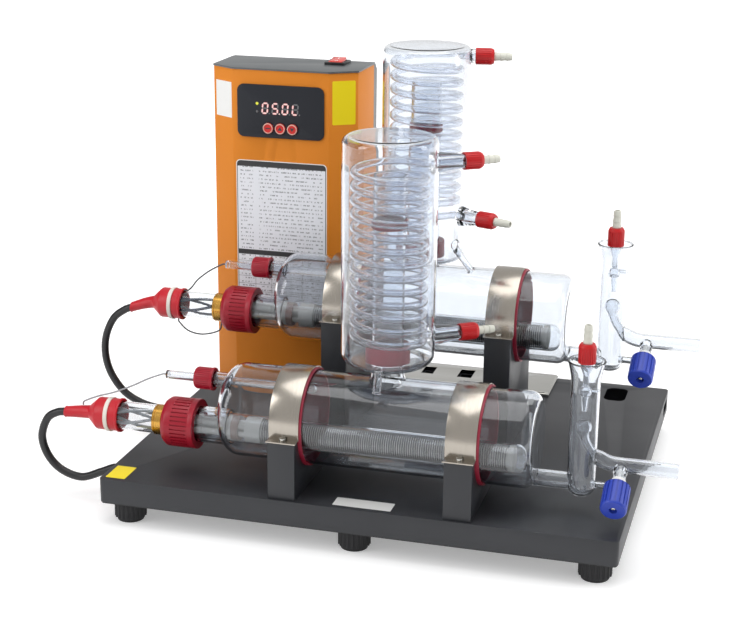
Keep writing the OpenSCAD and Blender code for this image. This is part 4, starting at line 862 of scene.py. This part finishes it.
def closed_tubes(places, radius, wall, left, tip, plug=0.0):
    """Tubes along X, open at their left end and domed at their right end, as one object."""
    outer = [(0, left), (radius, left)] + arc(0, tip - radius, radius, 0, 90)
    inner = ([(0, left - 1 + plug), (radius - wall, left - 1 + plug)]
             + arc(0, tip - radius, radius - wall, 0, 90))
    return joined([cut(lathe(outer, place, RIGHT, 72), lathe(inner, place, RIGHT, 72))
                   for place in places])


sheaths = closed_tubes(HEATER_AXES, SHEATH_R, SHEATH_WALL, SHEATH_END, SHEATH_TIP)
dress(sheaths, "heater_sheaths", "quartz", crease=40)
wells = closed_tubes(WELL_AXES, WELL_R, WELL_WALL, WELL_LEFT, WELL_RIGHT + WELL_R, 4)
dress(wells, "thermowells", "drawn_tube", crease=40)
print(sheaths.name, wells.name)

# %% Heater windings
WIND_LEFT, WIND_RIGHT, WIND_R, WIRE_R, WIND_TURNS = -113.0, 154.0, 12.3, 0.85, 112


def winding_route(y, z, per_turn=18):
    span = WIND_RIGHT - WIND_LEFT - 4 * WIRE_R
    route = [(WIND_LEFT, y + WIND_R, z)]
    for k in range(WIND_TURNS * per_turn + 1):
        a = 2 * pi * k / per_turn
        route.append((WIND_LEFT + 2 * WIRE_R + span * k / (WIND_TURNS * per_turn),
                      y + WIND_R * cos(a), z + WIND_R * sin(a)))
    return route + [(WIND_RIGHT, y + WIND_R, z)]


windings = joined([tube_along(winding_route(y, z), WIRE_R, sides=8) for _, y, z in HEATER_AXES])
dress(windings, "heater_windings", "oxidised_wire", crease=60)
print(windings.name, len(windings.data.polygons))

# %% [markdown]
# The winding's two leads run to the left through white ceramic beads, past a mica spacer
# and out of the clear end of the sheath, where sleeved wires curl into the boot.

# %% Ceramic beads, spacers and sleeved wires
def ring_profile(inner, outer, low, high, flat=0.0, tall=0.0):
    """A ring's section, with its outer corners cut when flat and tall are given."""
    if not flat:
        return [(inner, low), (outer, low), (outer, high), (inner, high)]
    return [(inner, low), (outer - flat, low), (outer, low + tall), (outer, high - tall),
            (outer - flat, high), (inner, high)]


BEAD_ASIDE = 4.6
BEAD_SPANS = ((-214, -198), (-197.6, -181), (-180.6, -164), (-163.6, -151.6))
beads = [lathe(ring_profile(1.2, 3.4, left, right, 0.5, 0.7),
               (0, y + sy * BEAD_ASIDE, z + sz * BEAD_ASIDE), RIGHT, 24, True)
         for _, y, z in HEATER_AXES for sy in (-1, 1) for sz in (-1, 1)
         for left, right in BEAD_SPANS]
dress(joined(beads), "ceramic_lead_beads", "alumina")
spacers = ring_set(ring_profile(10.0, 13.9, -146.6, -138.4, 0.3, 0.6), HEATER_AXES, steps=64)
dress(spacers, "mica_spacers", "mica", crease=40)


def strand(y, z, turn, start=-214, length=84, spans=24):
    """One wire that leaves the beads, swells outward and sags a little into the boot."""
    points = []
    for i in range(spans + 1):
        t = i / spans
        spread_r = 6.0 + 3.2 * sin(pi * t)
        a = turn + 2.2 * t
        points.append((start - length * t, y + spread_r * cos(a),
                       z + spread_r * sin(a) - 1.5 * sin(pi * t)))
    return tube_along(points, 1.7, sides=12)


for side, look, (_, y, z) in zip(STAGES, ("silver_sleeve", "slate_sleeve"), HEATER_AXES):
    strands = joined([strand(y, z, k * pi / 2 + 0.6) for k in range(4)])
    dress(strands, side + "_sleeved_wires", look, crease=40)
print("beads and wires done")

# %% [markdown]
# **Screw caps** are moulded in PBT with grip grooves that stop short of both rims. We
# lathe a cap with one segment for each rib and each groove, pick every third face of
# the grip band in edit mode and push those faces in by their normals.

# %% Screw caps
def grooved_cap(node, look, profile, place, grip):
    """A turned cap with grooves pushed in between two heights of its grip band."""
    ribs, low, high, inner, depth = grip
    cap = lathe(profile, (0, 0, 0), steps=ribs * 3, closed=True)
    mesh = cap.data
    for face in mesh.polygons:
        middle = face.center
        flat = Vector((middle.x, middle.y))
        outward = flat.normalized().to_3d().dot(face.normal)
        turn = (flat.angle_signed(Vector((1, 0)), 0) / (2 * pi)) % 1.0
        face.select = (low < middle.z / MM < high and outward > 0.9
                       and int(turn * ribs * 3) % 3 == 0 and flat.length / MM > inner)
    for item in [*mesh.edges, *mesh.vertices]:
        item.select = False
    for face in mesh.polygons:
        for v in face.vertices if face.select else ():
            mesh.vertices[v].select = True
    pick(cap)
    bpy.ops.object.mode_set(mode="EDIT")
    bpy.context.tool_settings.mesh_select_mode = (False, False, True)
    bpy.ops.mesh.inset(thickness=0.12 * MM, depth=0.0, use_individual=True)
    bpy.ops.mesh.extrude_region_shrink_fatten(
        TRANSFORM_OT_shrink_fatten={"value": -depth * MM})
    bpy.context.tool_settings.mesh_select_mode = (True, False, False)
    bpy.ops.object.mode_set(mode="OBJECT")
    mesh.transform(axis_place(*place))
    dress(cap, node, look, node, 32)


HEATER_CAP = [(19.85, 0), (26.4, 0), (27.0, 0.6), (27.0, 4.6), (26.7, 5.4), (26.7, 6.4),
              (26.9, 7.2), (26.9, 25.4), (26.9, 31.0), (26.5, 33.2), (23.8, 37.0),
              (15.85, 37.0), (15.85, 34.0), (19.85, 34.0)]
WELL_CAP = [(8.95, 0), (12.2, 0), (12.4, 0.4), (12.4, 2.2), (11.9, 2.7), (11.9, 18.6),
            (11.6, 19.6), (10.6, 21.0), (4.78, 21.0), (4.78, 18.6), (8.95, 18.6)]
HOSE_CAP = [(6.55, 0), (8.8, 0), (9.0, 0.3), (9.0, 16.6), (8.7, 17.6), (7.4, 20.0),
            (3.98, 20.0), (3.98, 18.0), (6.55, 18.0)]
# Each grip: number of ribs, its lowest and highest level, its inner radius, groove depth.
HEATER_GRIP, WELL_GRIP = (36, 7.4, 25.2, 26, 1.2), (32, 3, 18, 11, 0.45)
HOSE_GRIP, KNOB_GRIP = (22, 1, 16.4, 8, 0.5), (18, 31.5, 53, 13, 0.9)
FEED_SEATS = [(CHAMBER_X, y, z + FEED_Z + SEAT_GAP) for y, z, _, _ in STAGES.values()]
for side, feed_seat, (y, z, _, _) in zip(STAGES, FEED_SEATS, STAGES.values()):
    grooved_cap(side + "_heater_cap", "crimson_pbt", HEATER_CAP,
                ((-185, y, z - HEATER_DROP), LEFT), HEATER_GRIP)
    grooved_cap(side + "_thermowell_cap", "crimson_pbt", WELL_CAP,
                ((-167, y, z + WELL_RISE), LEFT), WELL_GRIP)
    grooved_cap(side + "_feed_cap", "red_pbt", HOSE_CAP, (feed_seat, UP), HOSE_GRIP)
    for label, seat in zip(("_lower", "_upper"), ports(side)):
        grooved_cap(side + label + "_port_cap", "red_pbt", HOSE_CAP, seat,
                    HOSE_GRIP)
print("caps done")

# %% [markdown]
# **Hose barbs** are polypropylene. Each has three sharp-backed steps that a hose slides
# over and cannot slip back from.

# %% Hose barbs
BARB = [(2.4, 16.2), (6.0, 16.2), (6.0, 17.6), (3.9, 17.8), (3.9, 20.2)]
for k in range(3):
    low = 20.2 + 19.0 / 3 * k
    wide = 4.8 - 0.2 * k
    BARB += [(wide - 0.15, low), (wide, low + 0.3), (wide, low + 1.3), (wide - 0.7, low + 6.2)]
BARB += [(3.4, 39.3), (2.4, 39.3)]
for side in STAGES:
    barbs = joined([lathe(BARB, *seat, 48, True) for seat in ports(side)])
    dress(barbs, side + "_port_barbs", "milky_polypropylene",
          side + "_condenser", 30)
dress(ring_set(BARB, FEED_SEATS, UP, 48), "feed_barbs", "milky_polypropylene",
      crease=30)
print("barbs done")

# %% [markdown]
# **Stopcocks.** A PTFE stem with two collars screws into the glass barrel. The knob is
# moulded with ribs that fade out before its flat end, where a screw sits in a recess.

# %% Stopcock stems and knobs
STEM = [(0, 6), (1.2, 6), (4.2, 11.1), (4.2, 21.1), (7.1, 21.2), (7.1, 24.4), (6.3, 24.9),
        (6.3, 25.6), (7.1, 26.1), (7.1, 29.7), (3.0, 29.7), (3.0, 52.9), (0, 52.9)]
KNOB = [(3.08, 29.9), (12.6, 29.9), (13.5, 30.8), (13.5, 58.4), (13.2, 59.6), (12.2, 60.9),
        (4.2, 60.9), (4.2, 57.5), (3.08, 57.5)]
KNOB_SCREW = [(0, 53.2), (2.4, 53.2), (2.4, 58.2), (1.9, 59.0), (0.9, 59.2), (0.8, 58.4),
              (0, 58.4)]
for side, (y, z, _, _) in STAGES.items():
    cock = ((CHAMBER_X + COCK_X, y, z + ARM_Z), COCK_WAY)
    stem, knob = side + "_stopcock_stem", side + "_stopcock_knob"
    dress(lathe(STEM, *cock, 48), stem, "white_ptfe", stem, 30)
    grooved_cap(knob, "blue_nylon", KNOB, cock, KNOB_GRIP)
    dress(lathe(KNOB_SCREW, *cock, 32), side + "_knob_screw", "screw_steel",
          knob, 30)
print("stopcocks done")

# %% [markdown]
# **Silicone.** Boots, band liners and seals are moulded or cut from red silicone. Their
# CAD solids are plain, so each is modelled again with soft lips and rolled edges. A white
# cable tie holds each boot on its sheath.

# %% Silicone boots and ties
BOOT_RIGHT = -275.7
TAIL_START, TAIL_LENGTH = -308, 35.7
DROOP = {"front": 3.0, "rear": 10.0}
BOOT = [(0, 28), (15.7, 28), (15.7, 0.6), (16.3, 0), (18.2, 0), (18.7, 0.5), (18.7, 2.4),
        (18.2, 3.0), (17.75, 3.4), (17.75, 26.2), (17.3, 27.4), (15.4, 29.6), (9.2, 36.4),
        (7.9, 37.6), (7.4, 38.6), (7.1, 45.0), (6.8, 51.0), (6.4, 58.0), (6.0, 66.0),
        (6.2, 66.6), (6.2, 67.6), (5.9, 68.0), (0, 68.0)]
BOOT_PLACES = [(BOOT_RIGHT, y, z) for _, y, z in HEATER_AXES]
boots = []
for droop, place in zip(DROOP.values(), BOOT_PLACES):
    boots.append(lathe(BOOT, place, LEFT, 72))
    for vertex in boots[-1].data.vertices:
        along = (TAIL_START - vertex.co.x / MM) / TAIL_LENGTH
        if along > 0:
            vertex.co.z -= droop * along ** 1.5 * MM
dress(joined(boots), "lead_boots", "red_silicone", crease=45)
ties = ring_set(ring_profile(17.8, 18.9, 11.2, 15.8, 0.3, 0.3), BOOT_PLACES, LEFT, 72)
dress(ties, "boot_ties", "white_nylon", crease=30)
print("boots and ties done")

# %% Liners, seals, bungs and riser rings
STANDS = [(x, y, z) for y, z, _, _ in STAGES.values() for x in (-73, 113)]
LINER = [(50.2, -15.4), (50.5, -15.7), (51.7, -15.7), (52.0, -15.4), (52.0, 18.2),
         (51.7, 18.5), (50.5, 18.5), (50.2, 18.2)]
BUNG = [(16.6, 0.5), (22.2, 0.5), (23.0, 1.2), (23.0, 19.8), (22.3, 20.5), (16.6, 20.5)]
dress(ring_set(LINER, STANDS, steps=144), "band_liners", "crimson_silicone",
      crease=40)
seals = []
for (y, z, x, jacket_z), heater, well in zip(STAGES.values(), HEATER_AXES, WELL_AXES):
    riser = ((x, y, jacket_z), UP, 96, True)
    seals += [lathe(ring_profile(15.6, 19.3, -218.8, -213.2), heater, RIGHT, 64, True),
              lathe(ring_profile(4.8, 8.4, -185.4, -182.2), well, RIGHT, 48, True),
              lathe(BUNG, *riser),
              lathe(ring_profile(16.6, 18.3, 143, 152, 0.4, 0.5), *riser)]
dress(joined(seals), "silicone_seals", "crimson_silicone", crease=40)
print("liners and seals done")

# %% [markdown]
# **Folded and turned metal** keeps its CAD shape, but no real edge is razor sharp. We take
# a copy of the CAD mesh, merge its loose triangles, dissolve the flat ones into whole
# faces and let a Bevel modifier round every sharp edge. A lit edge is what makes a box
# look like painted steel.

# %% Rounded copies of CAD solids
def softened(node, look, radius, body="frame"):
    """A copy of a CAD node with rounded edges, which stands for that node."""
    copy = bpy.data.objects.new("copy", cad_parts[node].data.copy())
    bpy.context.scene.collection.objects.link(copy)
    pick(copy)
    bpy.ops.object.mode_set(mode="EDIT")
    bpy.ops.mesh.select_all(action="SELECT")
    bpy.ops.mesh.remove_doubles(threshold=2e-6)
    bpy.ops.mesh.dissolve_limited(angle_limit=radians(1.0))
    bpy.ops.object.mode_set(mode="OBJECT")
    modify(copy, "BEVEL", width=radius * MM, segments=2, limit_method="ANGLE",
           angle_limit=radians(30), harden_normals=False)
    dress(copy, node, look, body, 35)


for node, look, slot, radius in (
        ("base_tray", "grey_powder_coat", "tray_paint", 0.7),
        ("boiler_stands", "grey_powder_coat", "tray_paint", 0.5),
        # The chassis takes the paler grey coat: painted light for its lit top.
        ("box_chassis", "painted_lit_top_grey_coat", "tray_paint", 0.5),
        ("box_cover", "orange_powder_coat", "cover_orange", 0.5),
        ("service_plate", "service_steel", "service_steel", 0.4),
        ("switch_frame", "black_abs", "switch_black", 0.5),
        ("display_panel", "gloss_black_panel", "panel_black", 0.4),
        ("bottom_plate", "black_powder_coat", "bottom_paint", 0.3),
        ("clamp_bands", "band_steel", "band_steel", 0.25),
        ("band_screws", "screw_steel", "screw_steel", 0.2),
        ("cable_grommets", "black_rubber", "black_rubber", 0.5)):
    softened(node, look, radius)
for foot in ("front_left", "front_middle", "front_right",
             "rear_left", "rear_middle", "rear_right"):
    softened("foot_" + foot, "black_rubber", 0.4, "foot_" + foot)
softened("switch_rocker", "red_acrylic", 0.35, "switch_rocker")
for node, look in (("heater_ceramics", "alumina"), ("control_board", "solder_mask")):
    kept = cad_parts[node].data
    kept.materials.clear()
    kept.materials.append(looks[look])
print("rounded copies done")

# %% [markdown]
# The brass collar is turned: a plain ring with a groove near each end. Push buttons have a
# raised rim round a flat face.

# %% Brass collars and push buttons
COLLAR = [(15.6, -235.7), (16.0, -235.7), (16.5, -235.2), (16.5, -233.4), (16.1, -233.1),
          (16.5, -232.8), (16.5, -225.4), (16.1, -225.1), (16.5, -224.8), (16.5, -222.7),
          (16.0, -222.2), (15.6, -222.2)]
BUTTON = [(0, -89.0), (2.0, -89.0), (2.0, -78.8), (6.2, -78.8), (6.2, -76.2), (5.9, -75.75),
          (5.4, -75.6), (4.9, -75.75), (4.7, -76.0), (0, -76.05)]
BUTTON_RIM = [(4.85, -75.85), (4.95, -75.58), (5.5, -75.5), (6.0, -75.75), (6.12, -76.1),
              (5.4, -76.0)]
dress(ring_set(COLLAR, HEATER_AXES), "brass_collars", "turned_brass", crease=30)
PANEL_X, PANEL_Y, BUTTON_Z, BUTTON_PITCH = -175.0, 78.0, 379.0, 14.8
BUTTONS = {"button_left": PANEL_X - BUTTON_PITCH, "button_middle": PANEL_X,
           "button_right": PANEL_X + BUTTON_PITCH}
for name, x in BUTTONS.items():
    button = lathe(BUTTON, (x, 0, BUTTON_Z), FORWARD, 64)
    dress(button, name, "red_button", name, 30)
    rim = lathe(BUTTON_RIM, (x, 0, BUTTON_Z), FORWARD, 64, True)
    dress(rim, name + "_rim", "button_rim", name, 40)
print("buttons done")

# %% [markdown]
# Labels, prints and the display's segments are thin plates. Each starts as a point that is
# extruded along an outline, closed to a face and given its thickness, on a frame that lies
# in the surface it is stuck to.

# %% Plates on a surface
def surface_frame(origin, right=RIGHT, up=UP):
    """A matrix whose X and Y lie in a surface, in mm, and whose Z points out of it."""
    x = Vector(right).normalized()
    y = Vector(up).normalized()
    turn = Matrix((x, y, x.cross(y))).transposed().to_4x4()
    return Matrix.Translation(Vector(origin) * MM) @ turn


def plate(outline, place, thickness=0.15, lift=0.0):
    """A thin plate with the given outline (mm) on a surface frame."""
    start_drawing([Vector((a * MM, b * MM, lift * MM)) for a, b in outline])
    bpy.ops.mesh.edge_face_add()
    bpy.ops.mesh.extrude_region_move(
        TRANSFORM_OT_translate={"value": (0, 0, thickness * MM)})
    return end_drawing(place=place)


def rounded(x0, y0, x1, y1, r, count=5):
    """Outline of a rectangle with round corners."""
    corners = ((x1 - r, y0 + r, -90), (x1 - r, y1 - r, 0), (x0 + r, y1 - r, 90),
               (x0 + r, y0 + r, 180))
    return [(cx + r * cos(radians(start + 90 * k / count)),
             cy + r * sin(radians(start + 90 * k / count)))
            for cx, cy, start in corners for k in range(count + 1)]


def bar(x0, y0, x1, y1):
    return [(x0, y0), (x1, y0), (x1, y1), (x0, y1)]


BEVEL_W = 35.26
FRONT_FACE = surface_frame((0, 80, 0))
PANEL_FACE = surface_frame((0, PANEL_Y, 0))
DECK_FACE = surface_frame((0, 0, DECK), up=(0, 1, 0))
LEFT_BEVEL = surface_frame((-264, 99, 0), (29.7, -19, 0))
RIGHT_BEVEL = surface_frame((-116.7, 80, 0), (29.7, 19, 0))
for name, outline, place, look in (
        ("left_label", rounded(0.12 * BEVEL_W, 388, 0.95 * BEVEL_W, 430, 0.6), LEFT_BEVEL,
         "white_vinyl"),
        ("right_label", rounded(0.12 * BEVEL_W, 386, 0.91 * BEVEL_W, 437, 1.5), RIGHT_BEVEL,
         "yellow_vinyl"),
        ("deck_label", rounded(-19, -226, 43, -206, 1.0), DECK_FACE, "white_vinyl"),
        ("deck_notice", rounded(-272, -226, -250, -193, 1.0), DECK_FACE, "yellow_vinyl")):
    dress(plate(outline, place), name, look, crease=30)
print("labels done")

# %% [markdown]
# **The instruction sheet** stays without words. Its shader sets rows of broken grey marks
# that look like small print from a distance: the height picks the row, a noise along the
# row makes the gaps between words, and a finer noise breaks the marks up.

# %% Instruction sheet
ROW_PITCH_MM = 4.7
tree, place = new_look("small_print")
axes = add_node(tree, "ShaderNodeSeparateXYZ", links={"Vector": place}).outputs
rows = maths(tree, "MULTIPLY", axes["Z"], 1000 / ROW_PITCH_MM)
stroke = maths(tree, "COMPARE", maths(tree, "FRACT", rows), 0.5, 0.17)
along_row = add_node(tree, "ShaderNodeCombineXYZ", links={
    "X": maths(tree, "MULTIPLY", axes["X"], 460.0),
    "Y": maths(tree, "MULTIPLY", maths(tree, "FLOOR", rows), 5.71)})
words = maths(tree, "GREATER_THAN", noise(tree, along_row.outputs["Vector"], 1.0, 0.0), 0.5)
letters = maths(tree, "GREATER_THAN", noise(tree, place, 1500.0, 1.0), 0.45)
gutter = maths(tree, "COMPARE", axes["X"], -0.2065, 0.0035)
margin = maths(tree, "COMPARE", axes["X"], -0.1750, 0.0510)
ink = stroke
for mask in (words, letters, maths(tree, "LESS_THAN", gutter, 0.5), margin, 0.85):
    ink = maths(tree, "MULTIPLY", ink, mask)
surface(tree, "ShaderNodeBsdfPrincipled", {"Roughness": 0.38},
        {"Base Color": blend(tree, ink, linear("eef0f6"), linear("5c5f66"))})
for name, look, slot, outline, thickness in (
        ("instruction_border", "white_vinyl", "barb_white",
         rounded(-231, 155, -119, 339.5, 5), 0.1),
        ("instruction_frame", "black_print", "panel_black",
         rounded(-230, 156, -120, 338.5, 4.4), 0.16),
        ("instruction_sheet", "small_print", "barb_white",
         rounded(-229.2, 156.8, -120.8, 331.8, 0.5), 0.2)):
    dress(plate(outline, FRONT_FACE, thickness), name, look)
TABLE_LEFT, TABLE_RIGHT, TABLE_LOW, TABLE_HIGH, RULE = -229.2, -120.8, 156.8, 224.6, 0.35
table = [plate(bar(TABLE_LEFT, TABLE_HIGH, TABLE_RIGHT, 230.6), FRONT_FACE, 0.08, 0.18)]
for level in (216.2, 206.8, 197.4, 188.0, 178.6, 169.2):
    table.append(plate(bar(TABLE_LEFT, level, TABLE_RIGHT, level + RULE), FRONT_FACE, 0.06,
                       0.18))
for x in (-208.2, -188.0, -150.0):
    table.append(plate(bar(x, TABLE_LOW, x + RULE, TABLE_HIGH), FRONT_FACE, 0.06, 0.18))
dress(joined(table), "instruction_table", "black_print")
print("sheet done")

# %% [markdown]
# **The display** has four digits of seven segments. Lit segments are emission, nearly white
# in the middle of the photograph's exposure, over a red border; the dark ones stay grey.

# %% Display digits and indicator
DIGIT_W, DIGIT_H, DIGIT_PITCH, DIGIT_LEFT, DIGIT_LOW = 8.0, 13.4, 12.3, -198.2, 395.5
DIGIT_MARGIN, DIGIT_LEAN, SEGMENT_GAP, LIT_POINT = 0.9, 0.09, 0.35, 1
SEGMENTS = {"a": (0, 2, 1, 2), "b": (1, 1, 1, 2), "c": (1, 0, 1, 1), "d": (0, 0, 1, 0),
            "e": (0, 0, 0, 1), "f": (0, 1, 0, 2), "g": (0, 1, 1, 1)}
LIT = ("abcdef", "acdfg", "abcdef", "def")


def segment(left, key, half, lift):
    """One six-sided segment of a digit that leans a little to the right."""
    x0, y0, x1, y1 = SEGMENTS[key]
    width, height = DIGIT_W - 2 * DIGIT_MARGIN, DIGIT_H / 2 - DIGIT_MARGIN
    start = Vector((x0 * width, y0 * height))
    end = Vector((x1 * width, y1 * height))
    way = (end - start).normalized()
    start, end = start + way * SEGMENT_GAP, end - way * SEGMENT_GAP
    side = Vector((-way.y, way.x)) * half
    tips = [start, start + way * half - side, end - way * half - side, end,
            end - way * half + side, start + way * half + side]
    outline = [(left + DIGIT_MARGIN + t.x + DIGIT_LEAN * t.y, DIGIT_LOW + DIGIT_MARGIN + t.y)
               for t in tips]
    return plate(outline, PANEL_FACE, 0.05, lift)


halo, core, dark = [], [], []
for k, lit in enumerate(LIT):
    left = DIGIT_LEFT + k * DIGIT_PITCH
    for key in SEGMENTS:
        if key in lit:
            halo.append(segment(left, key, 1.15, 0.02))
            core.append(segment(left, key, 0.85, 0.06))
        else:
            dark.append(segment(left, key, 0.85, 0.02))
    point_left = left + DIGIT_W + DIGIT_MARGIN
    point = rounded(point_left, DIGIT_LOW, point_left + 1.6, DIGIT_LOW + 1.6, 0.78, 3)
    (core if k == LIT_POINT else dark).append(plate(point, PANEL_FACE, 0.05, 0.02))
dress(joined(halo), "digit_halos", "digit_halo")
dress(joined(core), "digit_cores", "digit_core")
dress(joined(dark), "digit_dark_parts", "digit_dark")
LENS = [(0, 0), (1.7, 0), (1.5, 0.5), (0.8, 0.9), (0, 1.0)]
DULL_LENS = [(0, 0), (1.5, 0), (1.3, 0.4), (0.7, 0.7), (0, 0.8)]
for name, look, slot, profile, level in (
        ("indicator_lens", "indicator", "button_plastic", LENS, 407.4),
        ("indicator_off", "digit_dark", "panel_black", DULL_LENS, 398.0)):
    dress(lathe(profile, (-203.4, PANEL_Y, level), FORWARD, 32), name, look, crease=60)
print("display done")

# %% [markdown]
# Each button carries a plain symbol that any such panel has: a dash, an arrow up and an
# arrow down. The rocker has the usual I and O on its two halves.

# %% Symbols
MARKS = (bar(-3.0, -0.7, 3.0, 0.7), [(-2.7, -1.8), (2.7, -1.8), (0, 2.4)],
         [(-2.7, 1.8), (0, -2.4), (2.7, 1.8)])
for (name, x), outline in zip(BUTTONS.items(), MARKS):
    mark = plate(outline, surface_frame((x, 76.05, BUTTON_Z)), 0.06, 0.01)
    dress(mark, name + "_mark", "black_print", name)
ROCKER_AT, ROCKER_D, ROCKER_TILT = Vector((-126, 146, 449)), 22.0, radians(7.0)
HALF = (ROCKER_D / 2 - 0.4) / 2
RISE = 3.2 + HALF * tan(ROCKER_TILT)


def on_rocker(sign):
    """The surface frame in the middle of one half of the rocker."""
    return (Matrix.Translation(ROCKER_AT * MM) @ Matrix.Rotation(ROCKER_TILT, 4, "X")
            @ Matrix.Translation(Vector((0, sign * HALF, RISE)) * MM)
            @ Matrix.Rotation(sign * ROCKER_TILT, 4, "X"))


dress(plate(bar(-0.45, -2.0, 0.45, 2.0), on_rocker(1), 0.08), "rocker_bar", "white_vinyl",
      "switch_rocker")
ring = lathe(ring_profile(1.4, 2.1, 0, 0.08), (0, 0, 0), steps=40, closed=True)
ring.data.transform(on_rocker(-1))
dress(ring, "rocker_ring", "white_vinyl", "switch_rocker")
print("symbols done")
